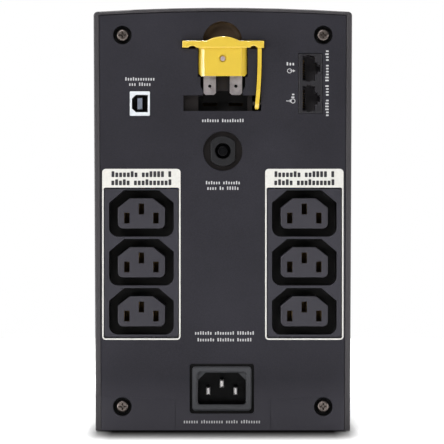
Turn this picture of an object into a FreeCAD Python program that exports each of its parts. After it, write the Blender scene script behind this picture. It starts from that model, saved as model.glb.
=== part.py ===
"""Tower uninterruptible power supply, 950 VA class, modelled as its separate pieces.

Millimetres, +Z up. The front bezel faces -Y and the socket panel faces +Y. The origin is the middle of
the footprint, on the surface that the feet stand on. "Left" and "right" are as seen by someone who
faces the socket panel, so left is +X and right is -X. Depths are counted inwards from the panel's face.
"""
import math
import os

from FreeCAD import Vector
import Part

# ---------------------------------------------------------------- overall size
DEPTH = 336.0
HEIGHT = 215.5
HALF_WIDTH_FOOT = 64.6          # the casing's half width at its lower edge
HALF_WIDTH_HEAD = 65.7          # and just under the top corners
TOP_RISE = 2.1                  # crown of the top from its middle to the corners
CORNER_R, INNER_CORNER_R = 2.2, 0.7
GROUND_GAP = 0.6                # the feet hold the tray this far off the ground

# ---------------------------------------------------------------- casing and panel
SIDE_WALL = 2.7
TOP_WALL = 1.7
TOP_SEAM, SIDE_SEAM = 0.25, 0.12        # open joint line between casing and panel
PANEL_PROUD = 3.3               # how far the parked connector stands out of the panel
PANEL_Y = DEPTH / 2 - PANEL_PROUD
PANEL_T = 2.5
RIM_PROUD = 0.5                 # the casing's rear rim stands out of the panel
BEZEL_DEPTH = 20.0
CASE_FRONT_Y = -DEPTH / 2 + BEZEL_DEPTH
CASE_BACK_Y = PANEL_Y + RIM_PROUD
RIM_EDGE_R = 0.8
RIM_BEVEL = 0.45                # bevel of the rim's inner edge
JOINT_CHAMFER = 0.5             # casing's edge at the bezel joint
BAFFLE_X, BAFFLE_T = 56.3, 1.5  # finger guards that hang behind the upper louvres
TRAY_T = 2.5
TRAY_SIDE_H = 12.0              # upstands along the tray's edges
BATTERY_WALL_H = 26.0           # walls that hold the battery's foot
TRAY_BACK_Y = PANEL_Y - PANEL_T - 10.2
RIB_T, RIB_DEPTH = 1.2, 10.0    # stiffening rib behind the panel's edge
LOUVRE_W, LOUVRE_PITCH, LOUVRE_N = 3.0, 7.0, 13
LOUVRE_ROWS = ((46.0, 128.0, 184.0), (-124.0, 24.0, 62.0))      # first slot's y, lowest and highest z
VENT_W, VENT_L, VENT_X = 3.0, 18.0, 48.0
VENT_YS = (-100, -92, -84, -76, 60, 68, 76, 84)
FOOT_R, FOOT_INSET, FOOT_YS = 8.0, 16.0, (-128.0, 118.0)
CORNER_X, CORNER_Z, CORNER_RISE = 24.1, 16.2, 2.3       # joint line round each lower corner of the panel
CORNER_GROOVE = 0.2

# ---------------------------------------------------------------- rear screws
SCREW_X = 51.05
SCREW_ZS = (12.7, 201.7)
SCREW_HEAD_D = 6.3
SCREW_POCKET_D = 9.4
SCREW_POCKET_DEPTH = 3.6
SCREW_HEAD_T, SCREW_L = 2.4, 16.0
MOUTH_BEVEL = 0.3               # of the screw pockets and the breaker's seat
THREAD_R = 1.5
PILOT_R = THREAD_R + 0.05
POST_W = 10.0
POST_BACK = 5.6                 # depth of the faces that the panel's screw cups rest on

# ---------------------------------------------------------------- outlets
BANK_X = 41.4
BANK_W, BANK_Z0, BANK_Z1 = 37.6, 48.2, 123.6
BANK_GAP = 0.35
OUTLET_ZS = (61.2, 86.15, 111.0)
WELL_W, WELL_H, WELL_DEPTH = 32.9, 23.7, 15.5
WELL_CUT_X, WELL_CUT_Z, WELL_R = 7.7, 6.5, 4.6
CORE_W, CORE_H = 24.0, 15.4
CORE_CUT_X, CORE_CUT_Z, CORE_R = 6.1, 4.8, 2.7
SLOT_W, SLOT_H = 2.75, 5.5
LINE_DX, LINE_DZ, EARTH_DZ = 7.4, -2.4, 2.2
BANK_BACK = 18.0
CONTACT_DEPTH = 9.0             # where the brass sleeves begin behind the slots

# ---------------------------------------------------------------- mains inlet
INLET_X, INLET_Z = 0.5, 21.9
INLET_SEAT_W, INLET_SEAT_H, INLET_SEAT_DEPTH = 32.8, 25.4, 1.6
INLET_FLANGE_W, INLET_FLANGE_H, INLET_FLANGE_T = 30.1, 22.5, 2.0
INLET_W, INLET_H, INLET_DEPTH = 24.5, 16.3, 16.5
INLET_CUT = 4.0
INLET_BEVEL, INLET_MOUTH = 0.8, 1.9
PIN_W, PIN_H, PIN_DX, PIN_TAPER = 2.0, 4.0, 7.0, 0.55
PIN_Z, EARTH_PIN_Z = 20.5, 24.3

# ---------------------------------------------------------------- circuit breaker
BREAKER_Z = 142.7
BREAKER_SEAT_D, BREAKER_NECK_D, BREAKER_FLATS = 20.0, 15.3, 12.5
BREAKER_HOLE_D, BREAKER_BUTTON_D, BREAKER_STEM_D = 8.1, 5.6, 3.0
BREAKER_TRAVEL = 3.5
BREAKER_BACK_Y = PANEL_Y - 4.4  # the breaker case rests on the panel's back
BREAKER_CASE_L, TAB_L = 30.0, 8.0
RUNNING_GAP = 0.05

# ---------------------------------------------------------------- data sockets
USB_X, USB_Z = 42.2, 166.8
USB_W, USB_H, USB_DEPTH = 10.2, 12.4, 16.0
USB_OPEN_W, USB_OPEN_H, USB_CUT = 8.1, 8.8, 2.0
JACK_X, JACK_W = -44.5, 12.0
JACK_Z0, JACK_Z1, JACK_DEPTH = 162.0, 192.2, 17.0
PORT_ZS = (169.4, 184.7)
PORT_X0, PORT_X1, PORT_H, PORT_DEPTH = -46.8, -40.5, 12.55, 13.0

# ---------------------------------------------------------------- battery connector, parked
PIVOT_Z = 167.0
PIVOT_DEPTH = 1.5
PIVOT_Y = PANEL_Y - PIVOT_DEPTH
PIVOT_PIN_R = 0.8
SLOT_X0, SLOT_X1, SLOT_Z0, SLOT_Z1 = -19.5, 20.05, 163.0, 171.0
SLOT_MID = 12.55                # half width of the deep middle of the slot
ARM_SLOT_X1 = -14.9
PLATE_X0, PLATE_X1, PLATE_Z0, PLATE_Z1 = -20.9, 20.55, 195.0, 198.5
PLATE_BACK, PLATE_FRONT = 4.3, PANEL_PROUD + PIVOT_DEPTH
BUMP_W, BUMP_Z = 8.3, 200.7
BODY_HALF, BODY_Z0 = 12.3, 180.7
BODY_BACK, BODY_FRONT = 3.6, 3.0
BODY_BEVEL, BODY_CORNER = 2.9, 2.3
ARM_T, ARM_HALF = 2.0, 3.4
ARM_TOP_X, ARM_MID_X, ARM_MID_Z, ARM_TIP_X = -18.65, -18.3, 178.0, -17.2
BLADE_X, BLADE_W, BLADE_T, BLADE_TIP_Z = 6.65, 6.3, 0.8, 171.2
RIVET_Z, RIVET_R, RIVET_SEAT_R, RIVET_SEAT_DEPTH = 189.6, 1.2, 1.85, 1.2
FIT = 0.4                       # clearance of the nest round the parked connector
BLOCK_DEPTH = 9.0               # the panel is this thick round the connector's nest
SCOOP_R, SCOOP_Z, SCOOP_DEPTH = 10.0, 198.6, 6.4
MOUTH_DEPTH, CLIP_L, CLIP_TAIL = 6.0, 11.5, 9.0
CLIP_FACE_T = 1.2               # housing wall in front of the clips, slit for the blades

# ---------------------------------------------------------------- front
FRONT_Y = -DEPTH / 2
BEZEL_BOW_R = 360.0
BEZEL_EDGE_R = 1.6
BEZEL_WALL = 2.6
WINDOW_W, WINDOW_Z0, WINDOW_Z1 = 46.0, 112.0, 200.0
WINDOW_T = 1.9
BUTTON_Z, BUTTON_D = 134.0, 18.0
BUTTON_WALL = 1.8
LAMP_ZS = (158.0, 168.0, 178.0, 188.0)
GROOVE_ZS = tuple(24.0 + 7.0 * i for i in range(10))
GROOVE_HALF, GROOVE_H, GROOVE_DEPTH = 50.0, 2.2, 1.3
HOOK_X = 40.0
FRONT_BOARD_Y, FRONT_BOARD_T = FRONT_Y + 13.6, 1.6
FRONT_POST_X, FRONT_POST_ZS = 15.0, (WINDOW_Z0 + 10, WINDOW_Z1 - 10)

# ---------------------------------------------------------------- inner parts
BATTERY_L, BATTERY_W, BATTERY_H = 151.0, 65.0, 94.0
BATTERY_Y0, BATTERY_Z0 = -136.0, 7.0
SHELF_Z, SHELF_T = 112.0, 2.5
BOARD_Z, BOARD_T = 122.0, 1.6
BOARD_X, BOARD_Y0, BOARD_Y1 = 52.0, -118.0, 96.0
CORE_X, CORE_Y0, CORE_Y1, CORE_Z0, CORE_Z1 = 23.0, 30.0, 122.0, 6.5, 83.5
RELAY_XS, RELAY_Y = (-40.0, -20.0, 0.0, 20.0), 70.0
LEAD_R, MAINS_WIRE_R, FRONT_CABLE_R = 2.2, 1.4, 1.6


# ================================================================ helpers
def box(x0, x1, y0, y1, z0, z1):
    return Part.makeBox(x1 - x0, y1 - y0, z1 - z0, Vector(x0, y0, z0))


def rod_y(x, z, radius, y0, y1):
    return Part.makeCylinder(radius, y1 - y0, Vector(x, y0, z), Vector(0, 1, 0))


def rod_x(y, z, radius, x0, x1):
    return Part.makeCylinder(radius, x1 - x0, Vector(x0, y, z), Vector(1, 0, 0))


def rod_z(x, y, radius, z0, z1):
    return Part.makeCylinder(radius, z1 - z0, Vector(x, y, z0), Vector(0, 0, 1))


def slab_y(edges, y0, y1):
    """Closed outline of edges drawn at y = 0 in the XZ plane, as a solid from y0 to y1."""
    face = Part.Face(Part.Wire(Part.__sortEdges__(edges)))
    face.translate(Vector(0, y0, 0))
    return face.extrude(Vector(0, y1 - y0, 0))


def polygon_y(points, y0, y1):
    corners = [Vector(x, 0, z) for x, z in points]
    return slab_y(Part.makePolygon(corners + corners[:1]).Edges, y0, y1)


def line(a, b):
    return Part.makeLine(a, b)


def arc(a, middle, b):
    return Part.Arc(a, middle, b).toShape()


def cut_corner_outline(x, z, w, h, cut_x, cut_z, r):
    """Connector outline: both upper corners cut off, both lower corners rounded."""
    left, right, low, high = x - w / 2, x + w / 2, z - h / 2, z + h / 2
    k = r * (1 - math.sqrt(0.5))
    p = [Vector(left + cut_x, 0, high), Vector(right - cut_x, 0, high), Vector(right, 0, high - cut_z),
         Vector(right, 0, low + r), Vector(right - r, 0, low), Vector(left + r, 0, low),
         Vector(left, 0, low + r), Vector(left, 0, high - cut_z)]
    return [line(p[0], p[1]), line(p[1], p[2]), line(p[2], p[3]),
            arc(p[3], Vector(right - k, 0, low + k), p[4]), line(p[4], p[5]),
            arc(p[5], Vector(left + k, 0, low + k), p[6]), line(p[6], p[7]), line(p[7], p[0])]


def round_box_y(x, z, w, h, r, y0, y1):
    """Box along Y whose four long edges are rounded."""
    solid = box(x - w / 2, x + w / 2, y0, y1, z - h / 2, z + h / 2)
    edges = [e for e in solid.Edges if abs(e.Vertexes[0].Y - e.Vertexes[1].Y) > 1e-6]
    return solid.makeFillet(r, edges)


def join(shapes):
    shapes = list(shapes)
    return shapes[0].multiFuse(shapes[1:]).removeSplitter() if len(shapes) > 1 else shapes[0]


def minus(solid, cutters):
    return solid.cut(list(cutters))


def group(solids):
    return Part.makeCompound(list(solids))


def shell_outline(side_inset, top_inset, z_low):
    """The casing's cross-section: sides that lean out a little and a gently crowned top."""
    slope = (HALF_WIDTH_HEAD - HALF_WIDTH_FOOT) / HEIGHT
    foot = HALF_WIDTH_FOOT + slope * z_low - side_inset
    head = HALF_WIDTH_HEAD - side_inset
    crown = HEIGHT - top_inset
    radius = max(INNER_CORNER_R, CORNER_R - side_inset)
    flat = head - radius
    edge = crown - TOP_RISE * (flat / HALF_WIDTH_HEAD) ** 2
    k = radius * (1 - math.sqrt(0.5))
    low = [Vector(s * foot, 0, z_low) for s in (-1, 1)]
    side = [Vector(s * head, 0, edge - radius) for s in (-1, 1)]
    top = [Vector(s * flat, 0, edge) for s in (-1, 1)]
    corner = [Vector(s * (head - k), 0, edge - k) for s in (-1, 1)]
    return [line(low[0], low[1]), line(low[1], side[1]), arc(side[1], corner[1], top[1]),
            arc(top[1], Vector(0, 0, crown), top[0]), arc(top[0], corner[0], side[0]),
            line(side[0], low[0])]


def cable(points, radius):
    """Round wire along straight runs joined by tangent arcs as large as the runs allow."""
    edges = []
    start = points[0]
    for before, corner, after in zip(points, points[1:], points[2:]):
        into, out = (corner - before), (after - corner)
        shorter = min(into.Length, out.Length)
        into.normalize()
        out.normalize()
        turn = into.getAngle(out)
        reach = 0.45 * shorter
        bend = reach / math.tan(turn / 2)
        first, last = corner - into * reach, corner + out * reach
        inward = (out - into).normalize()
        apex = corner + inward * (bend / math.cos(turn / 2) - bend)
        edges += [line(start, first), arc(first, apex, last)]
        start = last
    edges.append(line(start, points[-1]))
    path = Part.Wire(edges)
    section = Part.Wire(Part.Circle(points[0], points[1] - points[0], radius).toShape())
    return path.makePipeShell([section], True, True)


# ================================================================ casing, tray, bezel
def louvres(across):
    """Round-ended slots right across the casing, so that both sides get the same rows."""
    r = LOUVRE_W / 2
    slots = []
    for first_y, z0, z1 in LOUVRE_ROWS:
        for i in range(LOUVRE_N):
            y = first_y + i * LOUVRE_PITCH
            slots.append(join([box(-across, across, y, y + LOUVRE_W, z0 + r, z1 - r)]
                              + [rod_x(y + r, z, r, -across, across) for z in (z0 + r, z1 - r)]))
    return slots


def casing():
    outer = slab_y(shell_outline(0, 0, GROUND_GAP), CASE_FRONT_Y, CASE_BACK_Y)
    rim = [e for e in outer.Edges if min(v.Y for v in e.Vertexes) > CASE_BACK_Y - 0.01
           and max(v.Z for v in e.Vertexes) > GROUND_GAP + 1]
    outer = outer.makeFillet(RIM_EDGE_R, rim)
    joint = [e for e in outer.Edges if e.BoundBox.YMax < CASE_FRONT_Y + 0.01
             and e.BoundBox.ZMax > GROUND_GAP + 1]
    outer = outer.makeChamfer(JOINT_CHAMFER, joint)
    inner = slab_y(shell_outline(SIDE_WALL, TOP_WALL, GROUND_GAP - 5), CASE_FRONT_Y - 1, CASE_BACK_Y + 1)
    post_y1 = PANEL_Y - POST_BACK
    posts = []
    for s in (-1, 1):
        x = s * SCREW_X
        post = box(x - POST_W / 2, x + POST_W / 2, post_y1 - 36, post_y1, SCREW_ZS[1] - 5, HEIGHT - 3.0)
        posts.append(minus(post, [rod_y(x, SCREW_ZS[1], PILOT_R, post_y1 - 20, post_y1 + 1)]))
    first_y, low, _ = LOUVRE_ROWS[0]
    last_y = first_y + LOUVRE_N * LOUVRE_PITCH
    baffles = [box(x - BAFFLE_T / 2, x + BAFFLE_T / 2, first_y - 4, last_y, low - 4, HEIGHT - 3.0)
               for x in (-BAFFLE_X, BAFFLE_X)]
    shell = minus(outer, [inner])
    inner_rim = [e for e in shell.Edges if e.BoundBox.YMin > CASE_BACK_Y - 0.01
                 and e.BoundBox.ZMax > GROUND_GAP + 1
                 and e.BoundBox.XMin > -(HALF_WIDTH_HEAD - SIDE_WALL + 0.01)
                 and e.BoundBox.XMax < HALF_WIDTH_HEAD - SIDE_WALL + 0.01
                 and e.BoundBox.ZMax < HEIGHT - TOP_WALL + 0.01]
    shell = join([shell.makeChamfer(RIM_BEVEL, inner_rim)] + posts)
    across = HALF_WIDTH_HEAD + 5
    low_rim = box(-across, across, PANEL_Y, CASE_BACK_Y + 1, 0, CORNER_Z + CORNER_RISE)
    shell = minus(shell, [low_rim] + louvres(across))
    return join([shell] + baffles)


def base_tray():
    half = HALF_WIDTH_FOOT - SIDE_WALL - 0.2
    y0, y1 = CASE_FRONT_Y + 0.5, TRAY_BACK_Y
    z0, wall = GROUND_GAP, 2.0
    side_top, battery_top = z0 + TRAY_SIDE_H, z0 + BATTERY_WALL_H
    parts = [box(-half, half, y0, y1, z0, z0 + TRAY_T), box(-half, half, y0, y0 + wall, z0, side_top)]
    parts += [box(x, x + wall, y0, y1, z0, side_top) for x in (-half, half - wall)]
    for s in (-1, 1):
        x = s * SCREW_X
        parts.append(box(x - POST_W / 2, x + POST_W / 2, y1 - 22, PANEL_Y - POST_BACK,
                         z0 + TRAY_T - 0.5, SCREW_ZS[0] + 5))
    for y in (BATTERY_Y0 - wall - 0.5, BATTERY_Y0 + BATTERY_L + 0.5):
        parts.append(box(-BATTERY_W / 2 - 3, BATTERY_W / 2 + 3, y, y + wall, z0, battery_top))
    for s in (-1, 1):
        x = s * (BATTERY_W / 2 + 1.5)
        parts.append(box(x - 1, x + 1, BATTERY_Y0, BATTERY_Y0 + BATTERY_L, z0, battery_top))
    parts += [box(x - 2, x + 2, BATTERY_Y0, BATTERY_Y0 + BATTERY_L, z0, BATTERY_Z0) for x in (-20, 0, 20)]
    tray = join(parts)
    holes = [rod_y(s * SCREW_X, SCREW_ZS[0], PILOT_R, PANEL_Y - POST_BACK - 20, PANEL_Y)
             for s in (-1, 1)]
    holes += [rod_z(x, y, 1.05, z0 + 0.5, z0 + 30) for x, y in transformer_bolt_places()]
    holes += [box(x - VENT_L / 2, x + VENT_L / 2, y, y + VENT_W, z0 - 1, z0 + TRAY_T + 1)
              for x in (-VENT_X, VENT_X) for y in VENT_YS]
    return minus(tray, holes)


def rubber_feet():
    places = [(s * (HALF_WIDTH_FOOT - FOOT_INSET), y) for s in (-1, 1) for y in FOOT_YS]
    feet = []
    for x, y in places:
        foot = rod_z(x, y, FOOT_R, 0, GROUND_GAP)
        lower = [e for e in foot.Edges if abs(e.BoundBox.ZMax) < 1e-6]
        feet.append(foot.makeFillet(0.4, lower))
    return group(feet)


def bezel_body(inset):
    """Bezel blank: the casing's outline cut to a gently bowed front, shrunk by inset all round."""
    blank = slab_y(shell_outline(inset, inset, GROUND_GAP + inset), FRONT_Y - 1, CASE_FRONT_Y)
    bow = rod_z(0, FRONT_Y + BEZEL_BOW_R, BEZEL_BOW_R - inset, -10, HEIGHT + 10)
    return blank.common(bow)


def front_bezel():
    """Bowed front with the window's seat, a row of grooves, and two hooks that reach into the casing."""
    outer = bezel_body(0)
    outer = outer.makeFillet(BEZEL_EDGE_R, [e for e in outer.Edges if e.BoundBox.YMax < CASE_FRONT_Y - 5])
    hollow = bezel_body(BEZEL_WALL)
    hollow = hollow.fuse(hollow.translated(Vector(0, 1.0, 0)))
    shell = outer.cut(hollow)
    mid_z, window_h = (WINDOW_Z0 + WINDOW_Z1) / 2, WINDOW_Z1 - WINDOW_Z0
    seat = round_box_y(0, mid_z, WINDOW_W, window_h, 6.0, FRONT_Y - 1, FRONT_Y + WINDOW_T)
    opening = round_box_y(0, mid_z, WINDOW_W - 8, window_h - 8, 4.0, FRONT_Y - 1, FRONT_Y + 18)
    pad = round_box_y(0, mid_z, WINDOW_W + 6, window_h + 6, 7.0, FRONT_Y + 1.5, FRONT_Y + 5.5)
    shell = shell.fuse(pad).cut([seat, opening])
    floor = rod_z(0, FRONT_Y + BEZEL_BOW_R, BEZEL_BOW_R - GROOVE_DEPTH, 0, HEIGHT)
    grooves = [box(-GROOVE_HALF, GROOVE_HALF, FRONT_Y - 1, FRONT_Y + 4.2, z, z + GROOVE_H).cut(floor)
               for z in GROOVE_ZS]
    shell = minus(shell, grooves)
    hooks = []
    for x in (-HOOK_X, HOOK_X):
        hooks.append(box(x - 5, x + 5, CASE_FRONT_Y - 6, CASE_FRONT_Y + 9, HEIGHT - 9, HEIGHT - 7))
        hooks.append(box(x - 6, x + 6, CASE_FRONT_Y - 8, CASE_FRONT_Y - 0.5, HEIGHT - 9, HEIGHT - 3))
    return join([shell] + hooks)


def window_parts():
    mid_z = (WINDOW_Z0 + WINDOW_Z1) / 2
    y0, y1 = FRONT_Y + 0.1, FRONT_Y + WINDOW_T
    pane = round_box_y(0, mid_z, WINDOW_W - 0.5, WINDOW_Z1 - WINDOW_Z0 - 0.5, 5.8, y0, y1)
    edge = [e for e in pane.Edges if e.BoundBox.YMax < y0 + 0.01]
    pane = pane.makeChamfer(0.3, edge)
    pane = minus(pane, [rod_y(0, BUTTON_Z, BUTTON_D / 2 + 0.35, y0 - 1, y1 + 1)]
                 + [rod_y(0, z, 1.6, y0 - 1, y1 + 1) for z in LAMP_ZS])
    pipes = []
    for z in LAMP_ZS:
        pipe = join([rod_y(0, z, 1.5, y0 + 0.1, y1 + 8.0), rod_y(0, z, 2.6, y1 + 0.1, y1 + 1.6)])
        pipes.append(pipe)
    bar = box(-2.0, 2.0, y1 + 3.0, y1 + 4.6, LAMP_ZS[0] - 3, LAMP_ZS[-1] + 3)
    return {"display_window": pane, "light_pipes": join(pipes + [bar])}


def power_button():
    """Dished hollow cap with a skirt that holds it behind the window, and a stem to the switch."""
    dish_r, dish_depth, inner_r = 60.0, 0.7, BUTTON_D / 2 - BUTTON_WALL
    cap = rod_y(0, BUTTON_Z, BUTTON_D / 2, FRONT_Y, FRONT_Y + 7.0)
    front = [e for e in cap.Edges if e.BoundBox.YMax < FRONT_Y + 0.01]
    cap = cap.makeFillet(0.8, front)
    cap = minus(cap, [Part.makeSphere(dish_r, Vector(0, FRONT_Y - dish_r + dish_depth, BUTTON_Z)),
                      rod_y(0, BUTTON_Z, inner_r, FRONT_Y + 2.4, FRONT_Y + 8)])
    stem = rod_y(0, BUTTON_Z, 2.2, FRONT_Y + 2.0, FRONT_Y + 11.0)
    skirt = rod_y(0, BUTTON_Z, BUTTON_D / 2 + 1.0, FRONT_Y + 5.0, FRONT_Y + 7.0)
    skirt = skirt.cut(rod_y(0, BUTTON_Z, inner_r, FRONT_Y + 4, FRONT_Y + 8))
    return join([cap, skirt, stem])


def front_board_parts():
    y0, y1 = FRONT_BOARD_Y, FRONT_BOARD_Y + FRONT_BOARD_T
    post_places = [(x, z) for x in (-FRONT_POST_X, FRONT_POST_X) for z in FRONT_POST_ZS]
    board = box(-19, 19, y0, y1, WINDOW_Z0 + 6, WINDOW_Z1 - 6)
    board = minus(board, [rod_y(x, z, 1.6, y0 - 1, y1 + 1) for x, z in post_places])
    leds = [join([rod_y(0, z, 1.5, y0 - 1.8, y0), rod_y(0, z, 1.9, y0 - 0.8, y0)]) for z in LAMP_ZS]
    switch = join([box(-3, 3, y0 - 0.9, y0, BUTTON_Z - 3, BUTTON_Z + 3),
                   rod_y(0, BUTTON_Z, 1.6, y0 - 1.0, y0 - 0.8)])
    beeper_z = WINDOW_Z0 + 34
    beeper = rod_y(0, beeper_z, 5.5, y1, y1 + 7.5).cut(rod_y(0, beeper_z, 0.9, y1 + 5, y1 + 8))
    posts = [join([rod_y(x, z, 3.0, FRONT_Y + 5.5, y0), rod_y(x, z, 1.5, y0, y1 + 1.5),
                   rod_y(x, z, 2.4, y1, y1 + 1.5)]) for x, z in post_places]
    return {"front_board": board, "status_lamps": group(leds), "power_switch": switch,
            "beeper": beeper, "front_board_posts": group(posts)}


# ================================================================ socket panel
def bolt_cup(x, z):
    return rod_y(x, z, SCREW_POCKET_D / 2 + 1.8, PANEL_Y - POST_BACK, PANEL_Y - PANEL_T + 0.5)


def arm_strip(extra):
    """The arm's gently bent strip seen from the rear, grown by extra on both sides."""
    half = ARM_T / 2 + extra
    tip_z = PIVOT_Z - ARM_HALF - extra
    top, mid = Vector(ARM_TOP_X, 0, PLATE_Z0 + 0.5), Vector(ARM_MID_X, 0, ARM_MID_Z)
    foot, across = Vector(ARM_TIP_X, 0, tip_z + half), Vector(half, 0, 0)
    return [line(top - across, top + across), arc(top + across, mid + across, foot + across),
            arc(foot + across, Vector(ARM_TIP_X, 0, tip_z), foot - across),
            arc(foot - across, mid - across, top - across)]


def notch_points():
    """Outline of the hollow behind the parked blades, narrower at its foot."""
    wide, narrow = 11.4, 10.15
    half = [(wide, BODY_Z0 + 1), (wide, 175.5), (narrow, 173.4), (narrow, SLOT_Z1 - 0.5)]
    return half + [(-x, z) for x, z in reversed(half)]


def connector_nest():
    """Everything cut out of the panel for the connector, its arm, its slot and the finger scoop."""
    out = PANEL_Y + 1
    body = box(-BODY_HALF - FIT, BODY_HALF + FIT, PIVOT_Y - BODY_BACK - FIT, out, BODY_Z0 - FIT, PLATE_Z0 + 1)
    plate = box(PLATE_X0 - FIT, PLATE_X1 + FIT, PIVOT_Y - PLATE_BACK - FIT, out,
                PLATE_Z0 - FIT, PLATE_Z1 + 0.7)
    arm = slab_y(arm_strip(0.3), PIVOT_Y - ARM_HALF - FIT, out)
    notch = polygon_y(notch_points(), PANEL_Y - BLOCK_DEPTH - 1, out)
    tongue_depth, tongue_half, tongue_z = 3.4, 3.1, 173.4
    tongue = box(-tongue_half, tongue_half, PANEL_Y - BLOCK_DEPTH, PANEL_Y - tongue_depth,
                 tongue_z, BODY_Z0 + 1.2)
    notch = notch.cut(tongue)
    shallow = box(SLOT_X0, SLOT_X1, PANEL_Y - 3.2, out, SLOT_Z0, SLOT_Z1)
    middle = box(-SLOT_MID, SLOT_MID, PANEL_Y - BLOCK_DEPTH - 1, out, SLOT_Z0, SLOT_Z1)
    arm_end = box(SLOT_X0, ARM_SLOT_X1, PANEL_Y - BLOCK_DEPTH - 1, out, SLOT_Z0, SLOT_Z1)
    scoop = rod_y(0.2, SCOOP_Z, SCOOP_R, PANEL_Y - SCOOP_DEPTH, out)
    inner = [e for e in scoop.Edges if e.BoundBox.YMax < PANEL_Y - SCOOP_DEPTH + 0.01]
    scoop = scoop.makeFillet(2.5, inner)
    scoop = scoop.common(box(-20, 20, PANEL_Y - 20, out, SCOOP_Z - 1, SCOOP_Z + 20))
    pin = rod_x(PIVOT_Y, PIVOT_Z, PIVOT_PIN_R, SLOT_X0 - 3.0, SLOT_X0 + 0.5)
    return [body, plate, arm, notch, shallow, middle, arm_end, scoop, pin]


def corner_groove(s):
    """Joint line round a lower corner: up from the foot, then out and a little upwards to the side."""
    g, far = CORNER_GROOVE / 2, HALF_WIDTH_HEAD
    points = [(CORNER_X - g, 0), (CORNER_X - g, CORNER_Z + g), (far, CORNER_Z + CORNER_RISE + g),
              (far, CORNER_Z + CORNER_RISE - g), (CORNER_X + g, CORNER_Z - g), (CORNER_X + g, 0)]
    return polygon_y([(s * x, z) for x, z in points], PANEL_Y - CORNER_GROOVE, PANEL_Y + 1)


def mouth_bevel(x, z, radius):
    """Bevel round the mouth of a round hollow in the panel's face."""
    return Part.makeCone(radius, radius + 2 * MOUTH_BEVEL, 2 * MOUTH_BEVEL,
                         Vector(x, PANEL_Y - MOUTH_BEVEL, z), Vector(0, 1, 0))


def rear_panel():
    side, top = SIDE_WALL + SIDE_SEAM, TOP_WALL + TOP_SEAM
    plate = slab_y(shell_outline(side, top, GROUND_GAP), PANEL_Y - PANEL_T, PANEL_Y)
    face_edges = [e for e in plate.Edges if e.BoundBox.YMin > PANEL_Y - 0.01]
    plate = plate.makeFillet(0.35, face_edges)
    rib_y = PANEL_Y - PANEL_T - RIB_DEPTH
    rib_outer = slab_y(shell_outline(side, top, GROUND_GAP), rib_y, PANEL_Y - PANEL_T)
    rib_inner = slab_y(shell_outline(side + RIB_T, top + RIB_T, GROUND_GAP + RIB_T), rib_y - 1, PANEL_Y)
    parts = [plate, rib_outer.cut(rib_inner)]
    parts += [bolt_cup(s * SCREW_X, z) for s in (-1, 1) for z in SCREW_ZS]
    parts.append(box(-23.6, 23.4, PANEL_Y - BLOCK_DEPTH, PANEL_Y - PANEL_T + 0.5, SLOT_Z0 - 2.2, 211.0))
    parts.append(box(INLET_X - 18, INLET_X + 18, PANEL_Y - 4.2, PANEL_Y - PANEL_T + 0.5, 7.0, 37.0))
    parts.append(rod_y(0, BREAKER_Z, BREAKER_SEAT_D / 2 + 1.6, PANEL_Y - 4.4, PANEL_Y - PANEL_T + 0.5))
    solid = join(parts)
    out = PANEL_Y + 1
    cutters = []
    for s in (-1, 1):
        for z in SCREW_ZS:
            cutters.append(rod_y(s * SCREW_X, z, SCREW_POCKET_D / 2, PANEL_Y - SCREW_POCKET_DEPTH, out))
            cutters.append(mouth_bevel(s * SCREW_X, z, SCREW_POCKET_D / 2))
            cutters.append(rod_y(s * SCREW_X, z, THREAD_R + 0.3, PANEL_Y - 12, out))
        x, mid_z = s * BANK_X, (BANK_Z0 + BANK_Z1) / 2
        cutters.append(round_box_y(x, mid_z, BANK_W + 2 * BANK_GAP, BANK_Z1 - BANK_Z0 + 2 * BANK_GAP, 1.6,
                                   PANEL_Y - 20, out))
    cutters.append(round_box_y(INLET_X, INLET_Z, INLET_SEAT_W, INLET_SEAT_H, 1.5,
                               PANEL_Y - INLET_SEAT_DEPTH, out))
    cutters.append(round_box_y(INLET_X, INLET_Z, INLET_W + 3.4, INLET_H + 3.4, 1.0, PANEL_Y - 20, out))
    cutters.append(rod_y(0, BREAKER_Z, BREAKER_SEAT_D / 2, PANEL_Y - 2.4, out))
    cutters.append(mouth_bevel(0, BREAKER_Z, BREAKER_SEAT_D / 2))
    cutters.append(breaker_neck(BREAKER_NECK_D + 0.3, BREAKER_FLATS + 0.3, PANEL_Y - 20, out))
    cutters.append(round_box_y(USB_X, USB_Z, USB_W + 0.4, USB_H + 0.4, 0.6, PANEL_Y - 20, out))
    cutters.append(box(JACK_X - JACK_W / 2 - 0.2, JACK_X + JACK_W / 2 + 0.2, PANEL_Y - 20, out,
                       JACK_Z0 - 0.2, JACK_Z1 + 0.2))
    for s in (-1, 1):
        cutters.append(box(s * SCREW_X - 5.4, s * SCREW_X + 5.4, PANEL_Y - PANEL_T - 10.5,
                           PANEL_Y - PANEL_T - 0.05, SCREW_ZS[1] + 6.8, HEIGHT))
        cutters.append(corner_groove(s))
    return minus(solid, cutters + connector_nest())


def cross_recess(x, z, y_face, depth):
    """Cross-head driver recess: two crossed wedges cut to a point."""
    arm_half, slot_half = 1.9, 0.42
    arms = [box(x - arm_half, x + arm_half, y_face - depth, y_face + 1, z - slot_half, z + slot_half),
            box(x - slot_half, x + slot_half, y_face - depth, y_face + 1, z - arm_half, z + arm_half)]
    cone = Part.makeCone(0.6, arm_half + 0.3, depth + 0.6, Vector(x, y_face - depth, z), Vector(0, 1, 0))
    return join(arms).common(cone)


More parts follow.
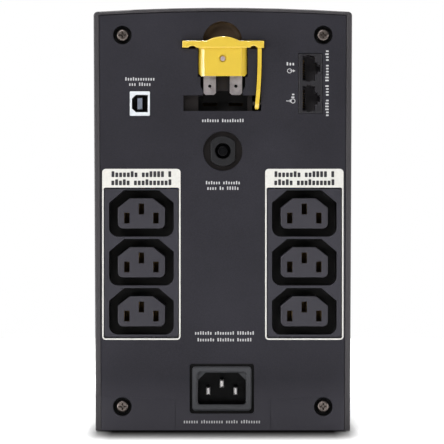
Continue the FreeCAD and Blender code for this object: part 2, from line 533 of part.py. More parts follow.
def rear_screws():
    screws = []
    seat_y = PANEL_Y - SCREW_POCKET_DEPTH
    face_y = seat_y + SCREW_HEAD_T
    for s in (-1, 1):
        for z in SCREW_ZS:
            x = s * SCREW_X
            head = rod_y(x, z, SCREW_HEAD_D / 2, seat_y, face_y)
            head = head.makeFillet(1.1, [e for e in head.Edges if e.BoundBox.YMin > face_y - 0.01])
            screw = join([head, rod_y(x, z, THREAD_R, seat_y - SCREW_L, seat_y)])
            screws.append(screw.cut(cross_recess(x, z, face_y, 1.5)))
    return group(screws)


# ================================================================ outlets
def core_slots(x, z):
    return [(x - LINE_DX, z + LINE_DZ), (x + LINE_DX, z + LINE_DZ), (x, z + EARTH_DZ)]


def outlet_bank(x):
    """Socket frame with three wells; the panel's window holds it by four snap lugs."""
    face_y, back_y = PANEL_Y - 0.15, PANEL_Y - BANK_BACK
    mid_z = (BANK_Z0 + BANK_Z1) / 2
    block = round_box_y(x, mid_z, BANK_W, BANK_Z1 - BANK_Z0, 1.3, back_y, face_y)
    edge = [e for e in block.Edges if e.BoundBox.YMin > face_y - 0.01]
    block = block.makeFillet(0.3, edge)
    lug_y1 = PANEL_Y - PANEL_T - 0.05
    lugs = [box(x + dx - 3, x + dx + 3, lug_y1 - 2, lug_y1, z - 1.6, z + 1.6)
            for dx in (-10, 10) for z in (BANK_Z0, BANK_Z1)]
    block = join([block] + lugs)
    wells = []
    for z in OUTLET_ZS:
        outline = cut_corner_outline(x, z, WELL_W, WELL_H, WELL_CUT_X, WELL_CUT_Z, WELL_R)
        wells.append(slab_y(outline, PANEL_Y - WELL_DEPTH, PANEL_Y + 1))
        for sx, sz in core_slots(x, z):
            wells.append(box(sx - 2.5, sx + 2.5, back_y - 1, PANEL_Y, sz - 3.9, sz + 3.9))
    return minus(block, wells)


def outlet_cores(x):
    """Socket cores: each stands on its well's floor and has three contact slots."""
    cores = []
    for z in OUTLET_ZS:
        outline = cut_corner_outline(x, z, CORE_W, CORE_H, CORE_CUT_X, CORE_CUT_Z, CORE_R)
        face_y = PANEL_Y - 0.4
        core = slab_y(outline, PANEL_Y - WELL_DEPTH, face_y)
        edge = [e for e in core.Edges if e.BoundBox.YMin > face_y - 0.01]
        core = core.makeFillet(0.5, edge)
        cuts = []
        for sx, sz in core_slots(x, z):
            cuts.append(box(sx - SLOT_W / 2, sx + SLOT_W / 2, face_y - 5, face_y + 1,
                            sz - SLOT_H / 2, sz + SLOT_H / 2))
            cuts.append(box(sx - 2.3, sx + 2.3, PANEL_Y - WELL_DEPTH - 1, face_y - 3.5, sz - 3.7, sz + 3.7))
        cores.append(minus(core, cuts))
    return group(cores)


def outlet_contacts(x):
    """Sprung brass sleeves behind the slots, with solder tails that reach through the bank."""
    sleeves = []
    y0, y1 = PANEL_Y - BANK_BACK, PANEL_Y - CONTACT_DEPTH
    for z in OUTLET_ZS:
        for sx, sz in core_slots(x, z):
            sleeve = box(sx - 2.2, sx + 2.2, y0, y1, sz - 3.5, sz + 3.5)
            bore = box(sx - 1.3, sx + 1.3, y0 + 1.2, y1 + 1, sz - 2.7, sz + 2.7)
            tail = box(sx - 0.4, sx + 0.4, y0 - 7, y0 + 1, sz - 2.4, sz + 2.4)
            sleeves.append(sleeve.cut(bore).fuse(tail))
    return group(sleeves)


def outlet_bars():
    """Bus strips that link the three outlets of each bank behind the contacts."""
    bars = []
    y = PANEL_Y - BANK_BACK - 8.6
    for s in (-1, 1):
        for dx, dz in ((-LINE_DX, LINE_DZ), (LINE_DX, LINE_DZ), (0, EARTH_DZ)):
            x = s * BANK_X + dx
            bars.append(box(x - 2.2, x + 2.2, y, y + 1.5, OUTLET_ZS[0] + dz - 4, OUTLET_ZS[-1] + dz + 4))
    return group(bars)


# ================================================================ mains inlet and breaker
def inlet_parts():
    """Flanged inlet: a plain mouth in the flange, and the cut-cornered cavity with its pins behind it."""
    seat_y = PANEL_Y - INLET_SEAT_DEPTH
    face_y = seat_y + INLET_FLANGE_T
    floor_y = face_y - INLET_DEPTH
    flange = round_box_y(INLET_X, INLET_Z, INLET_FLANGE_W, INLET_FLANGE_H, 1.8, seat_y, face_y)
    flange = flange.makeChamfer(INLET_BEVEL, [e for e in flange.Edges if e.BoundBox.YMin > face_y - 0.01])
    shell = round_box_y(INLET_X, INLET_Z, INLET_W + 3.0, INLET_H + 3.0, 1.0, floor_y - 2.0, seat_y + 0.2)
    outline = cut_corner_outline(INLET_X, INLET_Z, INLET_W, INLET_H, INLET_CUT, INLET_CUT, 1.5)
    cavity = slab_y(outline, floor_y, PANEL_Y + 5)
    mouth = round_box_y(INLET_X, INLET_Z, INLET_W, INLET_H, 1.5, face_y - INLET_MOUTH, PANEL_Y + 5)
    grow = 2 * INLET_BEVEL
    bevel = round_box_y(INLET_X, INLET_Z, INLET_W + grow, INLET_H + grow, 1.5 + INLET_BEVEL,
                        face_y - INLET_BEVEL, face_y)
    low = [e for e in bevel.Edges if e.BoundBox.YMax < face_y - INLET_BEVEL + 0.01]
    bevel = bevel.makeChamfer(INLET_BEVEL - 0.01, low)
    places = [(INLET_X - PIN_DX, PIN_Z), (INLET_X + PIN_DX, PIN_Z), (INLET_X, EARTH_PIN_Z)]
    snaps = [box(x - 1.2, x + 1.2, PANEL_Y - 7.2, PANEL_Y - 4.25, INLET_Z - 3, INLET_Z + 3)
             for x in (INLET_X - INLET_W / 2 - 1.5, INLET_X + INLET_W / 2 + 1.5)]
    holes = [box(x - PIN_W / 2, x + PIN_W / 2, floor_y - 3, floor_y + 1, z - PIN_H / 2, z + PIN_H / 2)
             for x, z in places]
    body = minus(join([flange, shell] + snaps), [cavity, mouth, bevel] + holes)
    pins = []
    for x, z in places:
        tip_y = floor_y + (15.0 if z == EARTH_PIN_Z else 14.0)
        pin = box(x - PIN_W / 2, x + PIN_W / 2, floor_y - 2.0, tip_y, z - PIN_H / 2, z + PIN_H / 2)
        pin = pin.makeChamfer(PIN_TAPER, [e for e in pin.Edges if e.BoundBox.YMin > tip_y - 0.01])
        tab = box(x - 0.4, x + 0.4, floor_y - 10.0, floor_y - 2.0, z - 2.4, z + 2.4)
        pins.append(pin.fuse(tab))
    return {"inlet_housing": body, "inlet_pins": group(pins)}


def breaker_neck(diameter, flats, y0, y1):
    neck = rod_y(0, BREAKER_Z, diameter / 2, y0, y1)
    return neck.common(box(-flats / 2, flats / 2, y0 - 1, y1 + 1, BREAKER_Z - 20, BREAKER_Z + 20))


def reset_plunger(cap_front, hole_back):
    """Turned plunger: domed cap with a ring groove, stem, and a collar that keeps it in the breaker."""
    cap_r, stem_r, collar_r, shoulder = BREAKER_BUTTON_D / 2, BREAKER_STEM_D / 2, 3.4, 0.8
    groove_r0, groove_r1, groove_floor = 1.55, 1.9, cap_front - 1.0
    cap_back = hole_back + 0.6
    collar_y0, collar_y1 = hole_back - 11.4, hole_back - 9.8

    def at(radius, y):
        return Vector(radius, y, BREAKER_Z)

    points = [at(0, collar_y0), at(collar_r, collar_y0), at(collar_r, collar_y1), at(stem_r, collar_y1),
              at(stem_r, cap_back), at(cap_r, cap_back), at(cap_r, cap_front - shoulder)]
    edges = [line(a, b) for a, b in zip(points, points[1:])]
    edges.append(arc(points[-1], at(2.55, cap_front - 0.35), at(groove_r1, cap_front - 0.12)))
    points = [at(groove_r1, cap_front - 0.12), at(groove_r1, groove_floor), at(groove_r0, groove_floor),
              at(groove_r0, cap_front), at(0, cap_front), at(0, collar_y0)]
    edges += [line(a, b) for a, b in zip(points, points[1:])]
    return Part.Face(Part.Wire(edges)).revolve(at(0, 0), Vector(0, 1, 0), 360)


def breaker_parts():
    face_y, neck_back = PANEL_Y - 0.2, BREAKER_BACK_Y
    neck = breaker_neck(BREAKER_NECK_D, BREAKER_FLATS, neck_back - 1, face_y)
    neck = neck.makeFillet(0.5, [e for e in neck.Edges if e.BoundBox.YMin > face_y - 0.01])
    case_y0 = neck_back - BREAKER_CASE_L
    case = box(-8.2, 8.2, case_y0, neck_back, BREAKER_Z - 17, BREAKER_Z + 17)
    long_edges = [e for e in case.Edges if abs(e.Vertexes[0].Y - e.Vertexes[1].Y) > 1]
    case = case.makeFillet(1.5, long_edges)
    tabs = [box(-0.4, 0.4, case_y0 - TAB_L, case_y0, z - 3.1, z + 3.1)
            for z in (BREAKER_Z - 9, BREAKER_Z + 9)]
    hole_back = face_y - 8.0
    body = minus(join([neck, case]), [
        rod_y(0, BREAKER_Z, BREAKER_HOLE_D / 2, hole_back, face_y + 1),
        rod_y(0, BREAKER_Z, BREAKER_STEM_D / 2 + RUNNING_GAP, hole_back - 14.0, hole_back + 1),
        rod_y(0, BREAKER_Z, 5.0, hole_back - 10.0 - BREAKER_TRAVEL - 1.0, hole_back - 6.0)])
    return {"breaker_body": body, "breaker_tabs": group(tabs),
            "reset_button": reset_plunger(face_y - 1.3, hole_back)}


# ================================================================ data sockets
def usb_parts():
    face_y = PANEL_Y - 0.1
    shell = round_box_y(USB_X, USB_Z, USB_W, USB_H, 0.5, face_y - USB_DEPTH, face_y)
    left, right = USB_X + USB_OPEN_W / 2, USB_X - USB_OPEN_W / 2
    low, high = USB_Z - USB_OPEN_H / 2, USB_Z + USB_OPEN_H / 2
    outline = [(right, low), (left - USB_CUT, low), (left, low + USB_CUT), (left, high - USB_CUT),
               (left - USB_CUT, high), (right, high)]
    opening = polygon_y(outline, face_y - 12.5, face_y + 1)
    shell = shell.cut(opening)
    tongue = box(USB_X - 1.25, USB_X + 1.25, face_y - 12.5, face_y - 1.2, USB_Z - 2.9, USB_Z + 2.9)
    tip = [e for e in tongue.Edges if e.BoundBox.YMin > face_y - 1.3]
    tongue = tongue.makeChamfer(0.3, tip)
    return {"usb_shell": shell, "usb_tongue": tongue}


def jack_parts():
    face_y = PANEL_Y + 0.2
    x0, x1 = JACK_X - JACK_W / 2, JACK_X + JACK_W / 2
    housing = box(x0, x1, face_y - JACK_DEPTH, face_y, JACK_Z0, JACK_Z1)
    edge = [e for e in housing.Edges if e.BoundBox.YMin > face_y - 0.01]
    housing = housing.makeFillet(0.4, edge)
    cuts, wires = [], []
    back = face_y - PORT_DEPTH
    for z in PORT_ZS:
        cuts.append(box(PORT_X0, PORT_X1, back, face_y + 1, z - PORT_H / 2, z + PORT_H / 2))
        cuts.append(box(PORT_X0 + 2.0, PORT_X0 + 4.3, back, face_y + 1, z - PORT_H / 2 - 0.6,
                        z + PORT_H / 2 + 0.6))
        cuts.append(box(PORT_X0 - 1.4, PORT_X0 + 0.1, back, face_y + 1, z - 3.1, z + 3.1))
        cuts.append(box(PORT_X0 - 2.7, PORT_X0 - 1.3, back, face_y + 1, z - 1.7, z + 1.7))
        for i in range(8):
            wz = z + (i - 3.5) * 1.2
            start = Vector(PORT_X1 - 0.35, face_y - 5.0, wz)
            end = Vector(PORT_X1 - 1.6, back + 0.1, wz)
            wires.append(Part.makeCylinder(0.23, (end - start).Length, start, end - start))
    return {"network_jacks": minus(housing, cuts), "network_contacts": group(wires)}


# ================================================================ battery connector
def connector_grip():
    """Yellow moulding: grip plate with its bump, blade carrier, and the arm that it swings on."""
    y0, y1 = PIVOT_Y - PLATE_BACK, PIVOT_Y + PLATE_FRONT
    relief = ((13.6, 17.4), (-17.3, -13.9))
    p = [Vector(PLATE_X0, 0, PLATE_Z0), Vector(PLATE_X0, 0, PLATE_Z1), Vector(-BUMP_W, 0, PLATE_Z1),
         Vector(0, 0, BUMP_Z), Vector(BUMP_W, 0, PLATE_Z1), Vector(PLATE_X1, 0, PLATE_Z1),
         Vector(PLATE_X1, 0, PLATE_Z0)]
    edges = [line(p[0], p[1]), line(p[1], p[2]), arc(p[2], p[3], p[4]), line(p[4], p[5]),
             line(p[5], p[6]), line(p[6], p[0])]
    plate = slab_y(edges, y0, y1)
    rise = 1.0
    for x0, x1 in relief:
        a, b = Vector(x0, 0, PLATE_Z0), Vector(x1, 0, PLATE_Z0)
        top = Vector((x0 + x1) / 2, 0, PLATE_Z0 + rise)
        plate = plate.cut(slab_y([arc(a, top, b), line(b, a)], y0 - 1, y1 + 1))
    outer = [e for e in plate.Edges if e.BoundBox.YMin > y1 - 0.01 or
             (e.BoundBox.XMax - e.BoundBox.XMin < 0.01 and e.BoundBox.YMax - e.BoundBox.YMin > 5
              and e.BoundBox.ZMax > PLATE_Z1 - 0.1 and abs(e.BoundBox.XMax) > BUMP_W + 1)]
    plate = plate.makeFillet(0.45, outer)
    carrier = box(-BODY_HALF, BODY_HALF, PIVOT_Y - BODY_BACK, PIVOT_Y + BODY_FRONT, BODY_Z0, PLATE_Z0 + 0.5)
    c, w = BODY_CORNER, BODY_HALF
    low = [polygon_y([(s * (w - c), BODY_Z0 - 1), (s * (w + 1), BODY_Z0 - 1), (s * (w + 1), BODY_Z0 + c)],
                     PANEL_Y - 20, PANEL_Y + 20) for s in (-1, 1)]
    bevels = []
    front = PIVOT_Y + BODY_FRONT
    for s in (-1, 1):
        tri = [Vector(s * (w - BODY_BEVEL), front + 0.01, BODY_Z0 - 1),
               Vector(s * (w + 0.01), front + 0.01, BODY_Z0 - 1),
               Vector(s * (w + 0.01), front - BODY_BEVEL, BODY_Z0 - 1)]
        face = Part.Face(Part.makePolygon(tri + tri[:1]))
        bevels.append(face.extrude(Vector(0, 0, 20)))
    carrier = minus(carrier, low + bevels)
    strip = slab_y(arm_strip(0), PIVOT_Y - ARM_HALF, PIVOT_Y + ARM_HALF)
    keep = join([box(-30, 0, PIVOT_Y - ARM_HALF, PIVOT_Y + ARM_HALF, PIVOT_Z, PLATE_Z0 + 5),
                 rod_x(PIVOT_Y, PIVOT_Z, ARM_HALF, -30, 0)])
    strip = strip.common(keep)
    solid = join([plate, carrier, strip])
    cuts = [rod_x(PIVOT_Y, PIVOT_Z, PIVOT_PIN_R + RUNNING_GAP, -30, -10)]
    cuts += [box(s * BLADE_X - BLADE_W / 2, s * BLADE_X + BLADE_W / 2, PIVOT_Y - BLADE_T / 2,
                 PIVOT_Y + BLADE_T / 2, BODY_Z0 - 1, BODY_Z0 + 6) for s in (-1, 1)]
    cuts.append(box(-BLADE_X, BLADE_X, PIVOT_Y - BLADE_T / 2, PIVOT_Y + BLADE_T / 2,
                    BODY_Z0 + 3, BODY_Z0 + 6))
    cuts.append(rod_y(0, RIVET_Z, RIVET_R, front - 3, front + 1))
    cuts.append(rod_y(0, RIVET_Z, RIVET_SEAT_R, front - RIVET_SEAT_DEPTH, front + 1))
    return minus(solid, cuts)


def connector_blades():
    """One tinned copper piece: two flat blades and the strap inside the moulding that joins them."""
    y0, y1 = PIVOT_Y - BLADE_T / 2, PIVOT_Y + BLADE_T / 2
    half, cut = BLADE_W / 2, 1.1
    parts = [box(-BLADE_X, BLADE_X, y0, y1, BODY_Z0 + 3, BODY_Z0 + 6)]
    for s in (-1, 1):
        x = s * BLADE_X
        outline = [(x - half, BODY_Z0 + 6), (x - half, BLADE_TIP_Z + cut), (x - half + cut, BLADE_TIP_Z),
                   (x + half - cut, BLADE_TIP_Z), (x + half, BLADE_TIP_Z + cut), (x + half, BODY_Z0 + 6)]
        blade = polygon_y(outline, y0, y1)
        tips = [e for e in blade.Edges if e.BoundBox.ZMax < BLADE_TIP_Z + 0.01
                and e.BoundBox.XMax - e.BoundBox.XMin > 1]
        blade = blade.makeChamfer(0.25, tips)
        parts.append(blade.cut(rod_y(x, 175.7, 0.85, y0 - 1, y1 + 1)))
    return join(parts)


def connector_rivet():
    """Small rivet that stands in a round seat in the carrier's face."""
    face_y = PIVOT_Y + BODY_FRONT
    rivet = rod_y(0, RIVET_Z, RIVET_R, face_y - 3, face_y - 0.2)
    rim = [e for e in rivet.Edges if e.BoundBox.YMin > face_y - 0.21]
    return rivet.makeFillet(0.3, rim)


def connector_pin():
    pin = rod_x(PIVOT_Y, PIVOT_Z, PIVOT_PIN_R, SLOT_X0 - 3.0, ARM_SLOT_X1 - 0.5)
    head = rod_x(PIVOT_Y, PIVOT_Z, PIVOT_PIN_R + 0.5, ARM_SLOT_X1 - 0.8, ARM_SLOT_X1 - 0.3)
    return pin.fuse(head)


def receptacle_parts():
    """Black housing behind the slot: two sprung contacts and the arm's guide channel."""
    front = PANEL_Y - BLOCK_DEPTH
    floor_y = front - MOUTH_DEPTH
    clip_y1 = floor_y - CLIP_FACE_T
    clip_y0 = clip_y1 - CLIP_L
    housing = [box(-15, 15, clip_y0 - 1.5, front, SLOT_Z0 - 2, 183.5),
               box(-21.5, -13, front - 30, front, SLOT_Z0 - 2, SLOT_Z1 + 2)]
    cuts = [box(-SLOT_MID - 0.1, SLOT_MID + 0.1, floor_y, front + 1, SLOT_Z0 - 0.1, SLOT_Z1 + 0.1),
            box(-11.6, 11.6, floor_y, front + 1, SLOT_Z0, 181.5),
            box(SLOT_X0 - 0.1, ARM_SLOT_X1 + 0.1, front - 28, front + 1, SLOT_Z0 - 0.1, SLOT_Z1 + 0.1)]
    clips = []
    for x in (-BLADE_X, BLADE_X):
        cuts.append(box(x - 4.0, x + 4.0, clip_y0 - 3, clip_y1, PIVOT_Z - 2.2, PIVOT_Z + 2.2))
        cuts.append(box(x - BLADE_W / 2 - 0.4, x + BLADE_W / 2 + 0.4, clip_y1 - 1, floor_y + 1,
                        PIVOT_Z - 0.8, PIVOT_Z + 0.8))
        clip = box(x - 3.8, x + 3.8, clip_y0, clip_y1, PIVOT_Z - 1.6, PIVOT_Z + 1.6)
        gap = box(x - 3.3, x + 3.3, clip_y0 + 1.0, clip_y1 + 1, PIVOT_Z - 0.7, PIVOT_Z + 0.7)
        tail = box(x - 3.1, x + 3.1, clip_y0 - CLIP_TAIL, clip_y0 + 0.5, PIVOT_Z - 0.4, PIVOT_Z + 0.4)
        clips.append(clip.cut(gap).fuse(tail))
    return {"connector_receptacle": minus(join(housing), cuts), "receptacle_contacts": group(clips)}


# ================================================================ battery
def battery_parts():
    y0, y1 = BATTERY_Y0, BATTERY_Y0 + BATTERY_L
    half = BATTERY_W / 2
    lid_t, wall = 12.0, 2.5
    lid_z = BATTERY_Z0 + BATTERY_H - lid_t
    case = box(-half, half, y0, y1, BATTERY_Z0, lid_z)
    case = case.makeFillet(2.0, [e for e in case.Edges if abs(e.Vertexes[0].Z - e.Vertexes[1].Z) > 1])
    cells, plates = [], []
    cell_l = (BATTERY_L - 2 * wall - 5 * wall) / 6
    for i in range(6):
        cy = y0 + wall + i * (cell_l + wall)
        cells.append(box(-half + wall, half - wall, cy, cy + cell_l, BATTERY_Z0 + wall, lid_z + 1))
        for k in range(5):
            py = cy + 1.6 + k * (cell_l - 3.2 - 2.3) / 4
            plates.append(box(-half + wall + 1, half - wall - 1, py, py + 2.3, BATTERY_Z0 + wall + 1,
                              lid_z - 4))
    lid = box(-half, half, y0, y1, lid_z, lid_z + lid_t)
    lid = lid.makeFillet(2.0, [e for e in lid.Edges if abs(e.Vertexes[0].Z - e.Vertexes[1].Z) > 1])
    lid = lid.makeFillet(1.0, [e for e in lid.Edges if e.BoundBox.ZMin > lid_z + lid_t - 0.01])
    wells, tabs = [], []
    for s in (-1, 1):
        x = s * 20.0
        wells.append(box(x - 6, x + 6, y1 - 12, y1 + 1, lid_z + 5, lid_z + lid_t + 1))
        tab = join([box(x - 3.2, x + 3.2, y1 - 9, y1 - 1, lid_z + 5, lid_z + 5.8),
                    box(x - 3.2, x + 3.2, y1 - 1.8, y1 - 1, lid_z + 5, lid_z + 13.0)])
        tabs.append(tab)
    lid_top = lid_z + lid_t
    vents = [rod_z(0, y0 + wall + (i + 0.5) * (cell_l + wall) - 3, 4.0, lid_top - 1.0, lid_top + 1)
             for i in range(6)]
    return {"battery_case": minus(case, cells), "battery_plates": group(plates),
            "battery_lid": minus(lid, wells + vents), "battery_terminals": group(tabs)}


# ================================================================ transformer
def transformer_bolt_places():
    return [(sx * 31.0, y) for sx in (-1, 1) for y in (CORE_Y0 + 8, CORE_Y1 - 8)]


def transformer_parts():
    mid_y = (CORE_Y0 + CORE_Y1) / 2
    leg, yoke = 15.0, 15.0
    core = box(-CORE_X, CORE_X, CORE_Y0, CORE_Y1, CORE_Z0, CORE_Z1)
    windows = [box(-CORE_X - 1, CORE_X + 1, mid_y + s * 23 - 8, mid_y + s * 23 + 8,
                   CORE_Z0 + yoke, CORE_Z1 - yoke) for s in (-1, 1)]
    grooves = [box(x - 0.15, x + 0.15, CORE_Y0 - 1, CORE_Y0 + 0.5, CORE_Z0 + 3, CORE_Z1 - 3)
               for x in (-15, -10, -5, 0, 5, 10, 15)]
    core = minus(core, windows + grooves)
    z0, z1 = CORE_Z0 + yoke, CORE_Z1 - yoke
    reach_x, reach_y = 37.0, 30.0

    def ring(grow, z_low, z_high, hole):
        outer = box(-reach_x - grow, reach_x + grow, mid_y - reach_y - grow, mid_y + reach_y + grow,
                    z_low, z_high)
        outer = outer.makeFillet(7.0, [e for e in outer.Edges if abs(e.Vertexes[0].Z - e.Vertexes[1].Z) > 1])
        return outer.cut(box(-CORE_X - hole, CORE_X + hole, mid_y - leg - hole, mid_y + leg + hole,
                             z_low - 1, z_high + 1))

    flange_t, grow = 1.4, 0.6
    tube = box(-CORE_X - 1.4, CORE_X + 1.4, mid_y - leg - 1.4, mid_y + leg + 1.4, z0 + 0.1, z1 - 0.1)
    tube = tube.cut(box(-CORE_X - 0.2, CORE_X + 0.2, mid_y - leg - 0.2, mid_y + leg + 0.2, z0 - 1, z1 + 1))
    bobbin = join([tube] + [ring(grow, z, z + flange_t, 0.2) for z in (z0 + 0.1, (z0 + z1) / 2 - 0.7,
                                                                      z1 - 0.1 - flange_t)])
    inner = 1.5
    mid_z = (z0 + z1) / 2
    primary = ring(-0.6, z0 + 0.2 + flange_t, mid_z - 0.8, inner)
    secondary = ring(-0.6, mid_z + 0.8, z1 - 0.2 - flange_t, inner)
    strap_t = 1.5
    top = box(-CORE_X + 4, CORE_X - 4, CORE_Y0 - strap_t, CORE_Y1 + strap_t, CORE_Z1, CORE_Z1 + strap_t)
    legs = [box(-CORE_X + 4, CORE_X - 4, y, y + strap_t, GROUND_GAP + TRAY_T, CORE_Z1 + strap_t)
            for y in (CORE_Y0 - strap_t, CORE_Y1)]
    feet = [box(-36, 36, y, y + 16, GROUND_GAP + TRAY_T, GROUND_GAP + TRAY_T + strap_t)
            for y in (CORE_Y0 - strap_t, CORE_Y1 + strap_t - 16)]
    strap = join([top] + legs + feet)
    strap = minus(strap, [rod_z(x, y, 2.2, 0, 30) for x, y in transformer_bolt_places()])
    seat = GROUND_GAP + TRAY_T + strap_t
    bolts = []
    for x, y in transformer_bolt_places():
        head = Part.makeCylinder(3.6, 2.6, Vector(x, y, seat))
        head = head.cut(Part.makeBox(1.0, 6.0, 2.0, Vector(x - 0.5, y - 3, seat + 1.6)))
        bolts.append(head.fuse(rod_z(x, y, 1.0, GROUND_GAP + 1.0, seat)))
    return {"transformer_core": core, "transformer_bobbin": bobbin, "transformer_primary": primary,
            "transformer_secondary": secondary, "transformer_strap": strap, "transformer_bolts": group(bolts)}


# ================================================================ main board
def board_parts():
    shelf_half = 58.0
    shelf = box(-shelf_half, shelf_half, BOARD_Y0 - 6, BOARD_Y1 + 4, SHELF_Z, SHELF_Z + SHELF_T)
    legs = [box(s * 50 - 3, s * 50 + 3, y, y + 8, GROUND_GAP + TRAY_T, SHELF_Z + 1)
            for s in (-1, 1) for y in (BOARD_Y0 - 6, BOARD_Y1 - 4)]
    windows = [box(-30, 30, y, y + 20, SHELF_Z - 1, SHELF_Z + 5) for y in (-90, -50, -10, 30)]
    post_places = [(s * (BOARD_X - 5), y) for s in (-1, 1) for y in (BOARD_Y0 + 5, BOARD_Y1 - 5)]
    post_places += [(s * (BOARD_X - 5), (BOARD_Y0 + BOARD_Y1) / 2) for s in (-1, 1)]
    posts = [rod_z(x, y, 3.5, SHELF_Z + 1, BOARD_Z) for x, y in post_places]
    shelf = minus(join([shelf] + legs + posts), windows + [rod_z(x, y, 1.3, SHELF_Z + 3, BOARD_Z + 1)
                                                           for x, y in post_places])
    top = BOARD_Z + BOARD_T
    board = box(-BOARD_X, BOARD_X, BOARD_Y0, BOARD_Y1, BOARD_Z, top)
    board = minus(board, [rod_z(x, y, 1.7, BOARD_Z - 1, top + 1) for x, y in post_places])
    screws = [join([rod_z(x, y, 1.25, BOARD_Z - 6, top), rod_z(x, y, 2.8, top, top + 2)])
              for x, y in post_places]
    screws = [s.cut(box(s.BoundBox.Center.x - 0.4, s.BoundBox.Center.x + 0.4, s.BoundBox.Center.y - 2.2,
                        s.BoundBox.Center.y + 2.2, top + 1.2, top + 3)) for s in screws]
    sinks, chips = [], []
    for s in (-1, 1):
        x = s * 28.0
        fins = [box(x - 2, x + 2, -96, -6, top, top + 42)]
        fin_x0, fin_x1 = sorted((x + s * 1.5, x + s * 14))
        fins += [box(fin_x0, fin_x1, y, y + 1.6, top + 4, top + 42) for y in range(-96, -6, 11)]
        sinks.append(join(fins))
        inner = x - s * 2.0
        for y in (-86, -64, -42, -20):
            x_near, x_far = sorted((inner, inner - s * 4.6))
            chip = join([box(x_near, x_far, y - 8, y + 8, top + 12, top + 32)]
                        + [box(inner - s * 2.6 - 0.4, inner - s * 2.6 + 0.4, y + dy - 0.6, y + dy + 0.6,
                               top, top + 12) for dy in (-5.4, 0, 5.4)])
            chips.append(chip)
    caps = []
    for x, y, r, h in ((0, -80, 9, 36), (0, -52, 9, 36), (0, -24, 8, 30), (-44, 20, 6, 22), (-44, 38, 6, 22)):
        can = rod_z(x, y, r, top, top + h)
        can = can.makeFillet(1.0, [e for e in can.Edges if e.BoundBox.ZMin > top + h - 0.01])
        cross = [box(x - r + 2, x + r - 2, y - 0.3, y + 0.3, top + h - 0.3, top + h + 1),
                 box(x - 0.3, x + 0.3, y - r + 2, y + r - 2, top + h - 0.3, top + h + 1)]
        caps.append(minus(can, cross))
    relays = []
    for x in RELAY_XS:
        block = box(x - 8, x + 8, RELAY_Y - 11, RELAY_Y + 11, top, top + 20)
        relays.append(block.makeFillet(0.8, [e for e in block.Edges if e.BoundBox.ZMin > top + 1]))
    choke = Part.makeTorus(11, 5, Vector(35, 36, top + 5.2))
    fuses = [join([rod_x(y, top + 6, 2.6, 26, 46)]) for y in (4.0, 14.0)]
    clips = [box(x - 2.5, x + 2.5, y - 3.4, y + 3.4, top, top + 3.4)
             for y in (4.0, 14.0) for x in (28.5, 43.5)]
    return {"board_shelf": shelf, "main_board": board, "board_screws": group(screws),
            "heat_sinks": group(sinks), "power_transistors": group(chips), "capacitors": group(caps),
            "relays": group(relays), "ferrite_choke": choke, "fuses": group(fuses),
            "fuse_clips": group(clips)}


# ================================================================ inner wiring
def wiring_parts():
    lid_top = BATTERY_Z0 + BATTERY_H
    start_y = BATTERY_Y0 + BATTERY_L
    tail_y = PANEL_Y - BLOCK_DEPTH - MOUTH_DEPTH - CLIP_FACE_T - CLIP_L - CLIP_TAIL - 1.2
    leads = {}
    for name, s in (("battery_lead_red", 1), ("battery_lead_black", -1)):
        points = [Vector(s * 20, start_y + 2.0, lid_top - 3), Vector(s * 20, start_y + 32, lid_top - 3),
                  Vector(s * 22, start_y + 62, lid_top - 1), Vector(s * 20, start_y + 90, lid_top + 5),
                  Vector(s * 12, start_y + 100, lid_top + 32),
                  Vector(s * BLADE_X, start_y + 102, PIVOT_Z - 6), Vector(s * BLADE_X, tail_y, PIVOT_Z)]
        leads[name] = cable(points, LEAD_R)
    inlet_y = PANEL_Y - INLET_SEAT_DEPTH + INLET_FLANGE_T - INLET_DEPTH - 11.4
    breaker_y = BREAKER_BACK_Y - BREAKER_CASE_L - TAB_L - 1.4
    mains = []
    for x, z, end in ((INLET_X - PIN_DX, PIN_Z, Vector(0, breaker_y, BREAKER_Z - 9)),
                      (INLET_X + PIN_DX, PIN_Z, Vector(31, BOARD_Y1 - 2, BOARD_Z + BOARD_T + 10)),
                      (INLET_X, EARTH_PIN_Z, Vector(39, BOARD_Y1 - 2, BOARD_Z + BOARD_T + 10))):
        if end.x == 0:
            points = [Vector(x, inlet_y, z), Vector(x - 1, inlet_y - 8, z + 18), Vector(x, inlet_y - 8.5, 60),
                      Vector(-5, inlet_y - 9, 92), Vector(-3, breaker_y - 4, BREAKER_Z - 24), end]
        else:
            points = [Vector(x, inlet_y, z), Vector(x + 1, inlet_y - 7, z + 18),
                      Vector(x + 4, inlet_y - 9, 60), Vector(end.x, inlet_y - 12, 96),
                      Vector(end.x + 1, end.y + 14, end.z + 8), end]
        mains.append(cable(points, MAINS_WIRE_R))
    leads["mains_wires"] = group(mains)
    front_y = FRONT_BOARD_Y + FRONT_BOARD_T
    ribbon = [Vector(-12, front_y + 0.8, 126), Vector(-12, front_y + 14, 130), Vector(-8, front_y + 22, 150),
              Vector(-2, -100, 168), Vector(2, -60, 174), Vector(0, -20, 172), Vector(-8, 14, 158),
              Vector(-16, 34, BOARD_Z + BOARD_T + 2)]
    leads["front_cable"] = cable(ribbon, FRONT_CABLE_R)
    return leads


